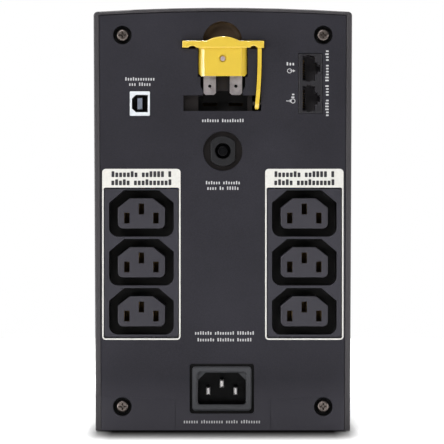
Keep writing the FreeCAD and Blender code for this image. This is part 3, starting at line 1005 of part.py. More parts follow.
# ================================================================ assembly
def build():
    nodes = {
        "casing": casing(), "base_tray": base_tray(), "rubber_feet": rubber_feet(),
        "front_bezel": front_bezel(), "power_button": power_button(),
        "rear_panel": rear_panel(), "rear_screws": rear_screws(),
        "outlet_bank_left": outlet_bank(BANK_X), "outlet_bank_right": outlet_bank(-BANK_X),
        "outlet_cores_left": outlet_cores(BANK_X), "outlet_cores_right": outlet_cores(-BANK_X),
        "outlet_contacts_left": outlet_contacts(BANK_X), "outlet_contacts_right": outlet_contacts(-BANK_X),
        "outlet_bars": outlet_bars(),
        "connector_grip": connector_grip(), "connector_blades": connector_blades(),
        "connector_rivet": connector_rivet(), "connector_pin": connector_pin(),
    }
    for family in (window_parts, front_board_parts, inlet_parts, breaker_parts, usb_parts, jack_parts,
                   receptacle_parts, battery_parts, transformer_parts, board_parts, wiring_parts):
        nodes.update(family())
    return nodes


os.makedirs("parts", exist_ok=True)
for stale in os.listdir("parts"):
    if stale.endswith(".step"):
        os.remove(os.path.join("parts", stale))
for node, shape in build().items():
    print(node, len(shape.Solids), shape.isValid(), round(shape.Volume))
    shape.exportStep("parts/" + node + ".step")
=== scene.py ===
"""Looks of the tower uninterruptible power supply: materials, printed marks, light and camera.

Metres, +Z up. The socket panel faces +Y and the front bezel -Y. Left and right are as seen by someone who
faces the socket panel, so left is +X.
"""
import math
import random

import bmesh
import bpy
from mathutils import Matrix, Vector


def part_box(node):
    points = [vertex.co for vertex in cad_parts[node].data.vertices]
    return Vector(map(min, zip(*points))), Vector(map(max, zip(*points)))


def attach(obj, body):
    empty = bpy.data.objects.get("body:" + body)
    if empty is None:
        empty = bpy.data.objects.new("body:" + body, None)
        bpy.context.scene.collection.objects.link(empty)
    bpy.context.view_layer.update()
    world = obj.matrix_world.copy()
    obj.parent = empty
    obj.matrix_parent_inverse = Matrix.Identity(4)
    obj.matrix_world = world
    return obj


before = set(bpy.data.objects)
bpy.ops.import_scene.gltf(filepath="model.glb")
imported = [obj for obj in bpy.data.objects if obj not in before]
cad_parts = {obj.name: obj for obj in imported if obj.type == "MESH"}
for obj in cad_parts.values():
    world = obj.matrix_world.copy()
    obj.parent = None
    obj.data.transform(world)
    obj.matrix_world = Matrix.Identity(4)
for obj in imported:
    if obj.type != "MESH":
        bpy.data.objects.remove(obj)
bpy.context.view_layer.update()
MM = 0.001
CHASSIS = "chassis"

PANEL_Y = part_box("rear_panel")[1].y
HALF_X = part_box("casing")[1].x
INK_T = 0.05 * MM                       # height of printed ink on a surface
INK_SINK = 0.02 * MM                    # how far the ink's back lies in the surface
WORD_GAP = 0.9                          # extra space between printed words, in letter pitches
SHORT_BLOCK = 0.78                      # height of a short block of print, as a part of a tall one
SKY_LOW, SKY_HIGH = 0.08, 0.32          # the surround's light at the horizon and overhead
FLOOR_R = 0.85
VIEW_WIDTH = 0.2256                     # width that the camera sees at the panel
VIEW_X, VIEW_Z = 0.43 * MM, 106.6 * MM  # point of the panel at the middle of the view


# ================================================================ node material helpers
def material(name):
    mat = bpy.data.materials.new(name)
    mat.use_nodes = True
    tree = mat.node_tree
    return mat, tree, tree.nodes["Principled BSDF"]


def add(tree, kind, **settings):
    node = tree.nodes.new(kind)
    for key, value in settings.items():
        setattr(node, key, value)
    return node


def object_coords(tree, stretch=(1, 1, 1)):
    coords = add(tree, "ShaderNodeTexCoord")
    mapping = add(tree, "ShaderNodeMapping")
    mapping.inputs["Scale"].default_value = stretch
    tree.links.new(coords.outputs["Object"], mapping.inputs["Vector"])
    return mapping.outputs["Vector"]


def noise(tree, vector, scale, detail=3.0, rough=0.55):
    node = add(tree, "ShaderNodeTexNoise")
    node.inputs["Scale"].default_value = scale
    node.inputs["Detail"].default_value = detail
    node.inputs["Roughness"].default_value = rough
    tree.links.new(vector, node.inputs["Vector"])
    return node.outputs["Fac"]


def ramp(tree, factor, stops):
    node = add(tree, "ShaderNodeValToRGB")
    elements = node.color_ramp.elements
    while len(elements) < len(stops):
        elements.new(0.5)
    for element, (position, colour) in zip(elements, stops):
        element.position = position
        element.color = (*colour, 1.0)
    tree.links.new(factor, node.inputs["Fac"])
    return node.outputs["Color"]


def remap(tree, factor, low, high):
    node = add(tree, "ShaderNodeMapRange")
    node.inputs["From Min"].default_value = 0.3
    node.inputs["From Max"].default_value = 0.7
    node.inputs["To Min"].default_value = low
    node.inputs["To Max"].default_value = high
    tree.links.new(factor, node.inputs["Value"])
    return node.outputs["Result"]


def bump(tree, height, strength, distance, below=None):
    node = add(tree, "ShaderNodeBump")
    node.inputs["Strength"].default_value = strength
    node.inputs["Distance"].default_value = distance
    tree.links.new(height, node.inputs["Height"])
    if below is not None:
        tree.links.new(below, node.inputs["Normal"])
    return node.outputs["Normal"]


def shade(colour, amount):
    return tuple(min(1.0, c * amount) for c in colour)


def axes(tree):
    """Where the shaded point is: its distance from the middle plane, its Y and its height."""
    coords = add(tree, "ShaderNodeTexCoord")
    split = add(tree, "ShaderNodeSeparateXYZ")
    tree.links.new(coords.outputs["Object"], split.inputs[0])
    side = add(tree, "ShaderNodeMath", operation="ABSOLUTE")
    tree.links.new(split.outputs["X"], side.inputs[0])
    return side.outputs[0], split.outputs["Y"], split.outputs["Z"]


def step(tree, value, edge, soft):
    """0 below the edge and 1 above it; the other way round for a negative soft."""
    node = add(tree, "ShaderNodeMapRange")
    node.inputs["From Min"].default_value = edge - soft
    node.inputs["From Max"].default_value = edge + soft
    tree.links.new(value, node.inputs["Value"])
    return node.outputs["Result"]


def product(tree, first, second):
    node = add(tree, "ShaderNodeMath", operation="MULTIPLY")
    tree.links.new(first, node.inputs[0])
    tree.links.new(second, node.inputs[1])
    return node.outputs[0]


def blend(tree, factor, low, high):
    """Colour low where the factor is 0 and high where it is 1; each is a colour or a socket."""
    node = add(tree, "ShaderNodeMix", data_type="RGBA")
    tree.links.new(factor, node.inputs["Factor"])
    for key, value in (("A", low), ("B", high)):
        if isinstance(value, tuple):
            node.inputs[key].default_value = (*value, 1.0)
        else:
            tree.links.new(value, node.inputs[key])
    return node.outputs["Result"]


def by_depth(tree, outer, inner, depth):
    """Outer on the socket panel's face and inner in hollows deeper than depth: a painted shade, or a painted
    light where inner is the lighter colour.

    Inner is a colour, or a function that builds its own nodes and returns their colour socket.
    """
    level = axes(tree)[1]
    deep = inner if isinstance(inner, tuple) else inner(tree)
    return blend(tree, step(tree, level, PANEL_Y - depth, 0.3 * MM), deep, outer)


def painted_hollow_shading(tree):
    """Painted shade in the panel's hollows: black in the screw pockets and round the inlet, brown round the
    connector and breaker.

    The finger scoop above the connector's grip gets a lighter, warmer painted light, for the yellow grip's
    bounce.
    """
    grip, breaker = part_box("connector_grip"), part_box("breaker_body")
    side, _, height = axes(tree)
    middle = product(tree, step(tree, side, 5.1 * MM - grip[0].x, -1 * MM),
                     step(tree, height, breaker[0].z + 4.3 * MM, 1 * MM))
    scoop = product(tree, middle, step(tree, height, grip[1].z - 9.7 * MM, 2 * MM))
    # Painted shade: near black in the pockets and round the inlet, brown round the connector and breaker;
    # painted bounce light in the scoop.
    colour = blend(tree, middle, (0.0028, 0.0026, 0.0030), (0.0112, 0.0090, 0.0088))
    return blend(tree, scoop, colour, (0.060, 0.040, 0.025))


def moulded(name, colour, rough=0.5, grain=2600.0, grain_mm=0.02, spread=0.12, level=0.35, coat=0.0,
            inside=None, depth=1.0 * MM, foot=None):
    """Injection-moulded plastic: spark-eroded grain, faint cloudy colour and uneven gloss.

    With inside given, the colour changes to it in hollows deeper than depth behind the socket panel: painted
    shade, or painted light where that colour is the lighter one.
    With foot given, the colour fades to it near the floor: painted light for the light that the pale floor
    bounces up.
    """
    mat, tree, shader = material(name)
    vector = object_coords(tree)
    cloud = noise(tree, vector, 22.0, 4.0)
    speck = noise(tree, vector, grain * 0.8, 2.0)
    mix = add(tree, "ShaderNodeMath", operation="MULTIPLY_ADD")
    mix.inputs[1].default_value = 0.45
    tree.links.new(speck, mix.inputs[0])
    half = add(tree, "ShaderNodeMath", operation="MULTIPLY")
    half.inputs[1].default_value = 0.55
    tree.links.new(cloud, half.inputs[0])
    tree.links.new(half.outputs[0], mix.inputs[2])
    stops = [(0.30, shade(colour, 1 - spread)), (0.5, colour), (0.70, shade(colour, 1 + spread))]
    base = ramp(tree, mix.outputs[0], stops)
    if foot is not None:
        # Painted light: lighter towards the floor, for the floor's bounce.
        base = blend(tree, step(tree, axes(tree)[2], 14 * MM, -13 * MM), base, foot)
    if inside is not None:
        # Painted shade (or painted light) in the hollows behind the panel's face.
        base = by_depth(tree, base, inside, depth)
    tree.links.new(base, shader.inputs["Base Color"])
    tree.links.new(remap(tree, cloud, rough - 0.03, rough + 0.04), shader.inputs["Roughness"])
    shader.inputs["Specular IOR Level"].default_value = level
    shader.inputs["Coat Weight"].default_value = coat
    shader.inputs["Coat Roughness"].default_value = 0.08
    fine = noise(tree, vector, grain, 2.0, 0.6)
    broad = noise(tree, vector, grain * 0.28, 2.0, 0.5)
    first = bump(tree, broad, 0.35, grain_mm * MM * 1.5)
    tree.links.new(bump(tree, fine, 0.6, grain_mm * MM, first), shader.inputs["Normal"])
    return mat


def metal(name, colour, rough=0.3, along=(1, 1, 1), scratch=0.006, tarnish=0.18, metallic=1.0,
          inside=None, depth=0.8 * MM):
    """Plated or drawn metal: scratches over faint tarnish; with inside given, painted shade in hollows as for
    moulded().

    The scratches run along the axis whose number in along is small.
    """
    mat, tree, shader = material(name)
    plain = object_coords(tree)
    drawn = object_coords(tree, along)
    cloud = noise(tree, plain, 260.0, 4.0)
    lines = noise(tree, drawn, 900.0, 3.0, 0.6)
    stops = [(0.32, shade(colour, 1 - tarnish)), (0.6, colour), (0.8, shade(colour, 1.08))]
    base = ramp(tree, cloud, stops)
    if inside is not None:
        # Painted shade in the hollows behind the panel's face.
        base = by_depth(tree, base, inside, depth)
    tree.links.new(base, shader.inputs["Base Color"])
    shader.inputs["Metallic"].default_value = metallic
    tree.links.new(remap(tree, lines, rough - 0.07, rough + 0.1), shader.inputs["Roughness"])
    tree.links.new(bump(tree, lines, 0.4, scratch * MM), shader.inputs["Normal"])
    return mat


def ink(name, colour):
    """Screen-printed ink with a slightly uneven film."""
    mat, tree, shader = material(name)
    vector = object_coords(tree)
    film = noise(tree, vector, 900.0, 3.0)
    stops = [(0.3, shade(colour, 0.93)), (0.7, shade(colour, 1.03))]
    tree.links.new(ramp(tree, film, stops), shader.inputs["Base Color"])
    tree.links.new(remap(tree, film, 0.5, 0.62), shader.inputs["Roughness"])
    shader.inputs["Specular IOR Level"].default_value = 0.3
    tree.links.new(bump(tree, film, 0.3, 0.006 * MM), shader.inputs["Normal"])
    return mat


def banded(name, dark, light, axis, pitch_mm, rough, metallic, depth_mm):
    """Stacked laminations or wound wire: fine bands across one axis."""
    mat, tree, shader = material(name)
    vector = object_coords(tree)
    wave = add(tree, "ShaderNodeTexWave", wave_type="BANDS", bands_direction=axis)
    wave.inputs["Scale"].default_value = math.pi / (10.0 * pitch_mm * MM)
    wave.inputs["Distortion"].default_value = 0.4
    wave.inputs["Detail"].default_value = 2.0
    tree.links.new(vector, wave.inputs["Vector"])
    tree.links.new(ramp(tree, wave.outputs["Fac"], [(0.15, dark), (0.6, light)]), shader.inputs["Base Color"])
    shader.inputs["Metallic"].default_value = metallic
    cloud = noise(tree, vector, 180.0)
    tree.links.new(remap(tree, cloud, rough - 0.06, rough + 0.08), shader.inputs["Roughness"])
    tree.links.new(bump(tree, wave.outputs["Fac"], 0.6, depth_mm * MM), shader.inputs["Normal"])
    return mat


def clear_lens(name, tint):
    mat, tree, shader = material(name)
    vector = object_coords(tree)
    cloud = noise(tree, vector, 400.0)
    tree.links.new(ramp(tree, cloud, [(0.3, shade(tint, 0.9)), (0.7, tint)]), shader.inputs["Base Color"])
    shader.inputs["Transmission Weight"].default_value = 0.35
    tree.links.new(remap(tree, cloud, 0.12, 0.22), shader.inputs["Roughness"])
    return mat


def circuit(name):
    """Green solder mask with copper tracks showing through as a faint grid."""
    mat, tree, shader = material(name)
    vector = object_coords(tree)
    brick = add(tree, "ShaderNodeTexBrick")
    brick.inputs["Scale"].default_value = 60.0
    brick.inputs["Mortar Size"].default_value = 0.035
    brick.inputs["Color1"].default_value = (0.010, 0.075, 0.030, 1)
    brick.inputs["Color2"].default_value = (0.014, 0.095, 0.036, 1)
    brick.inputs["Mortar"].default_value = (0.05, 0.22, 0.07, 1)
    tree.links.new(vector, brick.inputs["Vector"])
    tree.links.new(brick.outputs["Color"], shader.inputs["Base Color"])
    cloud = noise(tree, vector, 200.0)
    tree.links.new(remap(tree, cloud, 0.25, 0.4), shader.inputs["Roughness"])
    tree.links.new(bump(tree, brick.outputs["Fac"], 0.4, 0.03 * MM), shader.inputs["Normal"])
    return mat


# ================================================================ finishes of the CAD nodes
def shell_finishes():
    """Outside mouldings and what shows on the front bezel."""
    charcoal = moulded("casing_charcoal", (0.040, 0.0370, 0.0405), 0.5, 2400, 0.03, spread=0.06)
    # The panel gets painted shade in its hollows and painted bounce light near the floor.
    panel = moulded("panel_charcoal", (0.0212, 0.0204, 0.0262), 0.56, 2400, 0.06, spread=0.30,
                    level=0.14, inside=painted_hollow_shading, foot=(0.050, 0.048, 0.058))
    return {
        "casing": charcoal, "front_bezel": charcoal, "base_tray": charcoal, "rear_panel": panel,
        "rubber_feet": moulded("foot_rubber", (0.020, 0.020, 0.020), 0.8, 1800, 0.05),
        "display_window": moulded("window_gloss", (0.004, 0.004, 0.0045), 0.20, 3000, 0.001, level=0.4),
        "power_button": moulded("button_silver", (0.26, 0.26, 0.27), 0.34, 3000, 0.006, level=0.5),
        "light_pipes": clear_lens("lens_green", (0.55, 0.80, 0.58)),
        "status_lamps": clear_lens("lamp_green", (0.25, 0.80, 0.30)),
    }


def outlet_finishes(brass):
    """The two outlet banks, with painted shade darkening their wells and slots."""
    # Painted shade for the walls of the wells and slots.
    dark = (0.017, 0.0162, 0.0162)
    bank = moulded("bank_charcoal", (0.036, 0.035, 0.043), 0.42, 3000, 0.012, level=0.14, inside=dark,
                   depth=1.2 * MM)
    core = moulded("socket_core", (0.040, 0.0385, 0.046), 0.38, 3200, 0.008, level=0.16, inside=dark,
                   depth=1.6 * MM)
    return {
        "outlet_bank_left": bank, "outlet_bank_right": bank,
        "outlet_cores_left": core, "outlet_cores_right": core,
        "outlet_contacts_left": brass, "outlet_contacts_right": brass, "outlet_bars": brass,
    }


def inlet_finishes():
    """Mains inlet: painted shade blackens the cavity and darkens the pins behind their bright tips."""
    tip_depth = PANEL_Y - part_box("inlet_pins")[1].y + 1.6 * MM
    return {
        "inlet_housing": moulded("inlet_black", (0.056, 0.057, 0.062), 0.34, 3200, 0.006, level=0.12,
                                 inside=(0.0012, 0.0012, 0.0018), depth=3.0 * MM),
        "inlet_pins": metal("pin_nickel", (0.62, 0.60, 0.60), 0.30, (1, 0.15, 1),
                            inside=(0.05, 0.045, 0.045), depth=tip_depth),
    }


def port_finishes(brass):
    """Breaker, USB socket and modular jacks."""
    return {
        "breaker_body": moulded("breaker_black", (0.017, 0.017, 0.0185), 0.40, 3000, 0.01, level=0.16),
        "reset_button": moulded("plunger_black", (0.0022, 0.0022, 0.003), 0.34, 3000, 0.008, level=0.16),
        "breaker_tabs": brass,
        # Painted shade darkens the inside of the USB shell.
        "usb_shell": metal("usb_plate", (0.78, 0.82, 0.86), 0.36, (1, 1, 0.2), 0.002, tarnish=0.05,
                           metallic=0.3, inside=(0.012, 0.013, 0.016)),
        "usb_tongue": moulded("usb_tongue_grey", (0.15, 0.17, 0.21), 0.4, 3000, 0.006, spread=0.06),
        # Painted light makes the inside of the jacks lighter than their face.
        "network_jacks": moulded("jack_black", (0.019, 0.018, 0.021), 0.36, 3000, 0.006,
                                 inside=(0.060, 0.054, 0.060), depth=0.8 * MM),
        "network_contacts": metal("contact_gold", (0.40, 0.27, 0.10), 0.3, (1, 0.2, 1)),
    }


def connector_finishes(brass, inner):
    """Yellow battery connector and the socket behind its slot."""
    return {
        "connector_grip": moulded("connector_yellow", (0.66, 0.46, 0.045), 0.26, 3000, 0.006, spread=0.05,
                                  level=0.7, coat=0.9),
        "connector_blades": metal("tinned_blade", (0.44, 0.40, 0.40), 0.34, (1, 1, 0.15), tarnish=0.35,
                                  metallic=0.75),
        "connector_rivet": metal("rivet_steel", (0.62, 0.52, 0.54), 0.34, metallic=0.7),
        "connector_pin": metal("blacked_pin", (0.06, 0.055, 0.05), 0.4),
        "connector_receptacle": inner, "receptacle_contacts": brass,
    }


def power_finishes(zinc, wax):
    """Battery and transformer."""
    battery = moulded("battery_grey", (0.06, 0.06, 0.066), 0.45, 2400, 0.02)
    return {
        "battery_case": battery, "battery_lid": battery,
        "battery_terminals": metal("bright_tin", (0.70, 0.68, 0.68), 0.28, (0.2, 1, 1), metallic=0.8),
        "battery_plates": metal("lead_plate", (0.30, 0.31, 0.33), 0.55, tarnish=0.3),
        "transformer_core": banded("laminated_steel", (0.06, 0.055, 0.05), (0.20, 0.19, 0.18), "X", 0.5,
                                   0.45, 0.8, 0.03),
        "transformer_bobbin": wax,
        "transformer_primary": banded("primary_wire", (0.22, 0.06, 0.015), (0.62, 0.24, 0.07), "Z", 0.8,
                                      0.3, 0.5, 0.12),
        "transformer_secondary": banded("secondary_wire", (0.26, 0.08, 0.02), (0.70, 0.30, 0.10), "Z",
                                        1.6, 0.3, 0.5, 0.2),
        "transformer_strap": metal("strap_zinc", (0.62, 0.63, 0.66), 0.36, (1, 0.15, 1)),
        "transformer_bolts": zinc,
    }


def board_finishes(zinc, brass, inner, wax):
    """Circuit boards and the parts on them."""
    board = circuit("solder_mask")
    epoxy = moulded("moulded_epoxy", (0.012, 0.012, 0.012), 0.5, 3000, 0.015)
    return {
        "board_shelf": inner, "main_board": board, "front_board": board, "front_board_posts": wax,
        "board_screws": zinc, "fuse_clips": brass,
        "heat_sinks": metal("extruded_aluminium", (0.70, 0.71, 0.73), 0.38, (1, 0.1, 1)),
        "power_transistors": epoxy, "power_switch": epoxy, "beeper": epoxy,
        "capacitors": moulded("capacitor_sleeve", (0.012, 0.020, 0.060), 0.25, 2600, 0.004, level=0.5),
        "relays": moulded("relay_blue", (0.015, 0.07, 0.30), 0.3, 2600, 0.006),
        "ferrite_choke": banded("choke_winding", (0.20, 0.07, 0.02), (0.58, 0.24, 0.08), "X", 1.2, 0.35,
                                0.4, 0.15),
        "fuses": clear_lens("fuse_glass", (0.86, 0.90, 0.90)),
    }


def lead_finishes():
    """Insulated leads inside the casing."""
    return {
        "battery_lead_red": moulded("lead_red", (0.42, 0.012, 0.012), 0.4, 2600, 0.008, spread=0.06),
        "battery_lead_black": moulded("lead_black", (0.010, 0.010, 0.010), 0.4, 2600, 0.008),
        "mains_wires": moulded("wire_brown", (0.09, 0.035, 0.014), 0.4, 2600, 0.008),
        "front_cable": moulded("wire_grey", (0.20, 0.20, 0.21), 0.45, 2600, 0.01),
    }


def finishes():
    """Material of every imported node."""
    # Painted shade darkens the contacts more than 10 mm deep in their slots.
    brass = metal("contact_brass", (0.36, 0.25, 0.11), 0.34, (1, 0.2, 1), tarnish=0.3,
                  inside=(0.055, 0.036, 0.016), depth=10 * MM)
    zinc = metal("zinc_screw", (0.20, 0.170, 0.155), 0.36, tarnish=0.3)
    inner = moulded("inner_black", (0.006, 0.0055, 0.0055), 0.5, 2600, 0.015, level=0.2)
    wax = moulded("bobbin_nylon", (0.62, 0.60, 0.52), 0.45, 2600, 0.01, spread=0.06)
    return {
        "rear_screws": zinc, **shell_finishes(), **outlet_finishes(brass), **inlet_finishes(),
        **port_finishes(brass), **connector_finishes(brass, inner), **power_finishes(zinc, wax),
        **board_finishes(zinc, brass, inner, wax), **lead_finishes(),
    }


def dress_nodes():
    chosen = finishes()
    missing = sorted(set(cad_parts) - set(chosen))
    assert not missing, missing
    for name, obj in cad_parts.items():
        obj.data.materials.clear()
        obj.data.materials.append(chosen[name])


# ================================================================ printed marks
def plate_mesh(bm, points, y):
    """Flat mark on the panel from its XZ outline, as a thin closed slab of ink."""
    low = [bm.verts.new((x, y - INK_SINK, z)) for x, z in points]
    high = [bm.verts.new((x, y + INK_T, z)) for x, z in points]
    bm.faces.new(low)
    bm.faces.new(list(reversed(high)))
    count = len(points)
    for i in range(count):
        j = (i + 1) % count
        bm.faces.new((low[j], low[i], high[i], high[j]))


def ring_mesh(bm, outer, inner, y):
    """Closed band of ink between two outlines with the same number of points."""
    back, face = y - INK_SINK, y + INK_T
    rows = []
    for outline, level in ((outer, back), (outer, face), (inner, face), (inner, back)):
        rows.append([bm.verts.new((x, level, z)) for x, z in outline])
    count = len(outer)
    for a, b in zip(rows, rows[1:] + rows[:1]):
        for i in range(count):
            j = (i + 1) % count
            bm.faces.new((a[i], a[j], b[j], b[i]))


def rounded_outline(x0, x1, z0, z1, radius, steps=6):
    points = []
    corners = ((x1 - radius, z1 - radius, 0), (x0 + radius, z1 - radius, 1),
               (x0 + radius, z0 + radius, 2), (x1 - radius, z0 + radius, 3))
    for cx, cz, quarter in corners:
        for i in range(steps + 1):
            angle = math.pi / 2 * (quarter + i / steps)
            points.append((cx + radius * math.cos(angle), cz + radius * math.sin(angle)))
    return points


def finish_piece(name, bm, mat, body):
    bmesh.ops.recalc_face_normals(bm, faces=bm.faces)
    mesh = bpy.data.meshes.new(name)
    bm.to_mesh(mesh)
    bm.free()
    obj = bpy.data.objects.new(name, mesh)
    bpy.context.scene.collection.objects.link(obj)
    obj.data.materials.append(mat)
    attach(obj, body)
    return obj


def word_row(bm, x, z, letters, height, y, pitch, down=False, fill=0.52):
    """A centred row of small blocks in word groups, which stands in for a line of print.

    Letters gives the number of blocks in each word; with down, the row runs downwards.
    """
    rng = random.Random(len(letters) * 7 + int(abs(x) * 1e4) + int(z * 1e4))
    width = pitch * fill
    total = sum(letters) * pitch + (len(letters) - 1) * pitch * WORD_GAP - (pitch - width)
    at = -total / 2
    for count in letters:
        for _ in range(count):
            rise = height * rng.choice((SHORT_BLOCK, SHORT_BLOCK, 1.0))
            if down:
                box = rounded_outline(x - height / 2, x - height / 2 + rise, z - at - width, z - at,
                                      width * 0.2, 2)
            else:
                box = rounded_outline(x - at - width, x - at, z - height / 2, z - height / 2 + rise,
                                      width * 0.2, 2)
            plate_mesh(bm, box, y)
            at += pitch
        at += pitch * WORD_GAP


def bank_print(side, white, dark):
    """White frame and title bar round one outlet bank, with two rows of marks on the bar."""
    low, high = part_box("outlet_bank_" + side)
    margin, line, bar_gap, bar_h = 1.1 * MM, 0.75 * MM, 0.5 * MM, 9.5 * MM
    lug = 1.6 * MM
    x0, x1 = low.x - margin, high.x + margin
    z0, bank_top = low.z + lug - margin - line * 0.5, high.z - lug
    z1 = bank_top + bar_gap + bar_h
    bm = bmesh.new()
    outer = rounded_outline(x0, x1, z0, z1, 1.8 * MM)
    inner = rounded_outline(x0 + line, x1 - line, z0 + line, bank_top + bar_gap, 0.9 * MM)
    ring_mesh(bm, outer, inner, PANEL_Y)
    finish_piece("frame_print_" + side, bm, white, CHASSIS)
    bm = bmesh.new()
    mid = (x0 + x1) / 2
    for row, letters in ((6.8 * MM, (7, 6, 1)), (2.7 * MM, (5, 10))):
        word_row(bm, mid, bank_top + bar_gap + row, letters, 3.0 * MM, PANEL_Y + INK_T, 1.95 * MM, fill=0.74)
    finish_piece("title_print_" + side, bm, dark, CHASSIS)


def panel_labels(white):
    """Small print on the panel: rows of marks in place of words."""
    usb, slot_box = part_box("usb_shell"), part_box("connector_blades")
    breaker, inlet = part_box("breaker_body"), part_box("inlet_housing")
    jacks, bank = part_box("network_jacks"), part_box("outlet_bank_left")
    inlet_x, usb_x = (inlet[0].x + inlet[1].x) / 2, (usb[0].x + usb[1].x) / 2
    jack_z = (jacks[0].z + jacks[1].z) / 2
    rows = ((usb_x, usb[1].z + 6.3 * MM, (12,)), (usb_x, usb[1].z + 3.6 * MM, (3, 5)),
            (0, slot_box[0].z - 13.0 * MM, (7, 9)),
            (0, breaker[0].z + 0.9 * MM, (6, 7)), (0, breaker[0].z - 1.9 * MM, (4, 2, 5)),
            (-0.8 * MM, bank[0].z + 3.6 * MM, (7, 8, 7)), (-0.8 * MM, bank[0].z + 0.2 * MM, (7, 7, 6)),
            (inlet_x, inlet[0].z - 5.5 * MM, (6, 9, 5, 8)))
    bm = bmesh.new()
    for x, z, letters in rows:
        word_row(bm, x, z, letters, 1.7 * MM, PANEL_Y, 1.28 * MM)
    word_row(bm, jacks[0].x - 2.4 * MM, jack_z, (4, 6, 4, 6), 1.7 * MM, PANEL_Y, 1.5 * MM, down=True)
    mark_x = jacks[1].x + 4.2 * MM
    word_row(bm, mark_x, jack_z + 9.9 * MM, (3,), 1.7 * MM, PANEL_Y, 1.5 * MM)
    word_row(bm, mark_x - 1.3 * MM, jack_z - 6.4 * MM, (2,), 1.5 * MM, PANEL_Y, 1.4 * MM, down=True)
    finish_piece("label_print", bm, white, CHASSIS)


def disc_outline(x, z, radius, steps=20):
    return [(x + radius * math.cos(2 * math.pi * i / steps), z + radius * math.sin(2 * math.pi * i / steps))
            for i in range(steps)]


def arrow_mark(bm, ring_x, tail_x, tip_x, z):
    """Arrow from tail to tip beside or through a small ring."""
    size = 1.25 * MM
    ring_mesh(bm, disc_outline(ring_x, z, size), disc_outline(ring_x, z, size * 0.72), PANEL_Y)
    sign = 1 if tip_x > tail_x else -1
    neck_x, shaft, spread = tip_x - sign * 1.2 * MM, 0.17 * MM, 0.75 * MM
    top = PANEL_Y + INK_T * 0.3
    points = [(tail_x, z - shaft), (neck_x, z - shaft), (neck_x, z - spread), (tip_x, z),
              (neck_x, z + spread), (neck_x, z + shaft), (tail_x, z + shaft)]
    plate_mesh(bm, points, top)


def socket_marks(white):
    """Generic out and in arrows beside the two modular jacks."""
    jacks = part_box("network_jacks")
    x, middle = jacks[1].x + 4.6 * MM, (jacks[0].z + jacks[1].z) / 2
    bm = bmesh.new()
    arrow_mark(bm, x, x - 0.2 * MM, x - 2.9 * MM, middle + 6.3 * MM)
    arrow_mark(bm, x - 1.7 * MM, x + 1.7 * MM, x - 1.3 * MM, middle - 9.0 * MM)
    finish_piece("socket_marks", bm, white, CHASSIS)


# ================================================================ stage, light, camera
def floor_material():
    """Pale floor with a painted contact shadow in front of the panel's foot.

    Beside the casing a painted glow, an emission, lifts the floor's shade, so that the sides stand on white.
    """
    mat, tree, shader = material("pale_floor")
    cloud = noise(tree, object_coords(tree), 3.0)
    pale = ramp(tree, cloud, [(0.3, (0.88, 0.88, 0.88)), (0.7, (0.90, 0.90, 0.90))])
    side, level, _ = axes(tree)
    # Painted contact shadow in front of the panel.
    painted_shadow = product(tree, step(tree, side, HALF_X - 2.7 * MM, -7 * MM),
                    step(tree, level, PANEL_Y + 34 * MM, -30 * MM))
    painted_shadow = product(tree, painted_shadow, step(tree, level, PANEL_Y - 60 * MM, 20 * MM))
    tree.links.new(blend(tree, painted_shadow, pale, (0.02, 0.019, 0.018)), shader.inputs["Base Color"])
    # Painted glow beside the casing, lifting the floor's shade there.
    painted_glow = blend(tree, step(tree, side, HALF_X + 1.3 * MM, 4 * MM), (0, 0, 0), (0.9, 0.9, 0.9))
    tree.links.new(painted_glow, shader.inputs["Emission Color"])
    shader.inputs["Emission Strength"].default_value = 0.3
    shader.inputs["Roughness"].default_value = 0.9
    shader.inputs["Specular IOR Level"].default_value = 0.1
    return mat


def stage():
    """Round pale floor; past its edge the white surround carries on."""
    bm = bmesh.new()
    bmesh.ops.create_circle(bm, cap_ends=True, segments=96, radius=FLOOR_R)
    mesh = bpy.data.meshes.new("floor")
    bm.to_mesh(mesh)
    bm.free()
    floor = bpy.data.objects.new("floor", mesh)
    floor.data.materials.append(floor_material())
    bpy.context.scene.collection.objects.link(floor)


def area_light(name, place, target, width, power, height=None):
    """Elliptical softbox of a width and a height in metres, aimed at the target."""
    data = bpy.data.lights.new(name, "AREA")
    data.shape = "ELLIPSE"
    data.size, data.size_y = width, height or width
    data.energy = power
    light = bpy.data.objects.new(name, data)
    light.location = place
    light.rotation_euler = (Vector(target) - Vector(place)).to_track_quat("-Z", "Y").to_euler()
    bpy.context.scene.collection.objects.link(light)


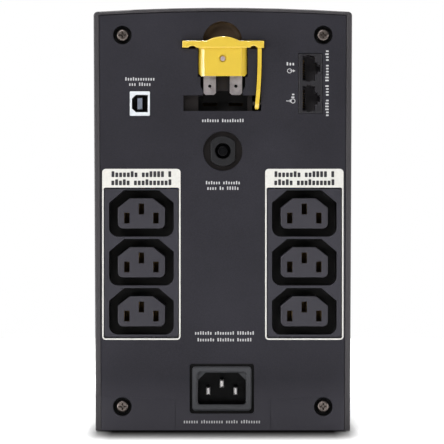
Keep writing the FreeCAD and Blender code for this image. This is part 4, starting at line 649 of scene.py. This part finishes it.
def sky():
    """White surround for the camera; as a light it is bright overhead and dim towards the horizon."""
    world = bpy.data.worlds.new("studio")
    world.use_nodes = True
    tree = world.node_tree
    background = tree.nodes["Background"]
    coords = add(tree, "ShaderNodeTexCoord")
    split = add(tree, "ShaderNodeSeparateXYZ")
    tree.links.new(coords.outputs["Generated"], split.inputs[0])
    height = add(tree, "ShaderNodeMapRange")
    height.inputs["From Min"].default_value = 0.0
    height.inputs["From Max"].default_value = 0.9
    height.inputs["To Min"].default_value = SKY_LOW
    height.inputs["To Max"].default_value = SKY_HIGH
    tree.links.new(split.outputs["Z"], height.inputs["Value"])
    path = add(tree, "ShaderNodeLightPath")
    mix = add(tree, "ShaderNodeMix", data_type="FLOAT")
    tree.links.new(path.outputs["Is Camera Ray"], mix.inputs["Factor"])
    tree.links.new(height.outputs["Result"], mix.inputs["A"])
    mix.inputs["B"].default_value = 1.0
    tree.links.new(mix.outputs["Result"], background.inputs["Strength"])
    background.inputs["Color"].default_value = (1, 1, 1, 1)
    bpy.context.scene.world = world


def lighting():
    """Softboxes at both sides of each face and beside the panel's edges, and one overhead.

    The side ones stand low and far out, so that deep holes in the panel stay dark.
    """
    sky()
    panel, bezel = (0, PANEL_Y, 0.11), (0, -PANEL_Y, 0.11)
    area_light("panel_top", (0.25, PANEL_Y + 0.95, 0.80), panel, 0.5, 4.2, 0.3)
    area_light("panel_left", (1.15, PANEL_Y + 0.85, 0.13), panel, 0.8, 8.8, 0.24)
    area_light("panel_right", (-1.15, PANEL_Y + 0.85, 0.13), panel, 0.8, 4.6, 0.24)
    area_light("edge_left", (1.1, PANEL_Y - 0.08, 0.30), panel, 0.5, 3.8, 0.26)
    area_light("edge_right", (-1.1, PANEL_Y - 0.08, 0.30), panel, 0.5, 3.0, 0.26)
    area_light("overhead", (0.0, -0.10, 1.6), (0, -0.05, 0.1), 0.32, 36)
    area_light("bezel_left", (-1.1, -1.15, 0.4), bezel, 0.8, 6)
    area_light("bezel_right", (1.2, -1.0, 0.3), bezel, 0.7, 4)
    view = bpy.context.scene.view_settings
    view.view_transform = "Standard"
    view.look = "None"


def camera():
    """Level view, square on to the socket panel."""
    data = bpy.data.cameras.new("camera")
    data.lens = 200
    data.sensor_width = 36
    distance = VIEW_WIDTH * data.lens / data.sensor_width
    cam = bpy.data.objects.new("camera", data)
    cam.location = (VIEW_X, PANEL_Y + distance, VIEW_Z)
    cam.rotation_euler = (math.pi / 2, 0, math.pi)
    bpy.context.scene.collection.objects.link(cam)
    bpy.context.scene.camera = cam


# ================================================================ assembly
camera()
stage()
lighting()
dress_nodes()
white_ink = ink("white_ink", (0.64, 0.63, 0.595))
grey_ink = ink("grey_ink", (0.46, 0.46, 0.47))
dark_ink = ink("dark_ink", (0.022, 0.021, 0.025))
for bank_side in ("left", "right"):
    bank_print(bank_side, white_ink, dark_ink)
panel_labels(grey_ink)
socket_marks(grey_ink)
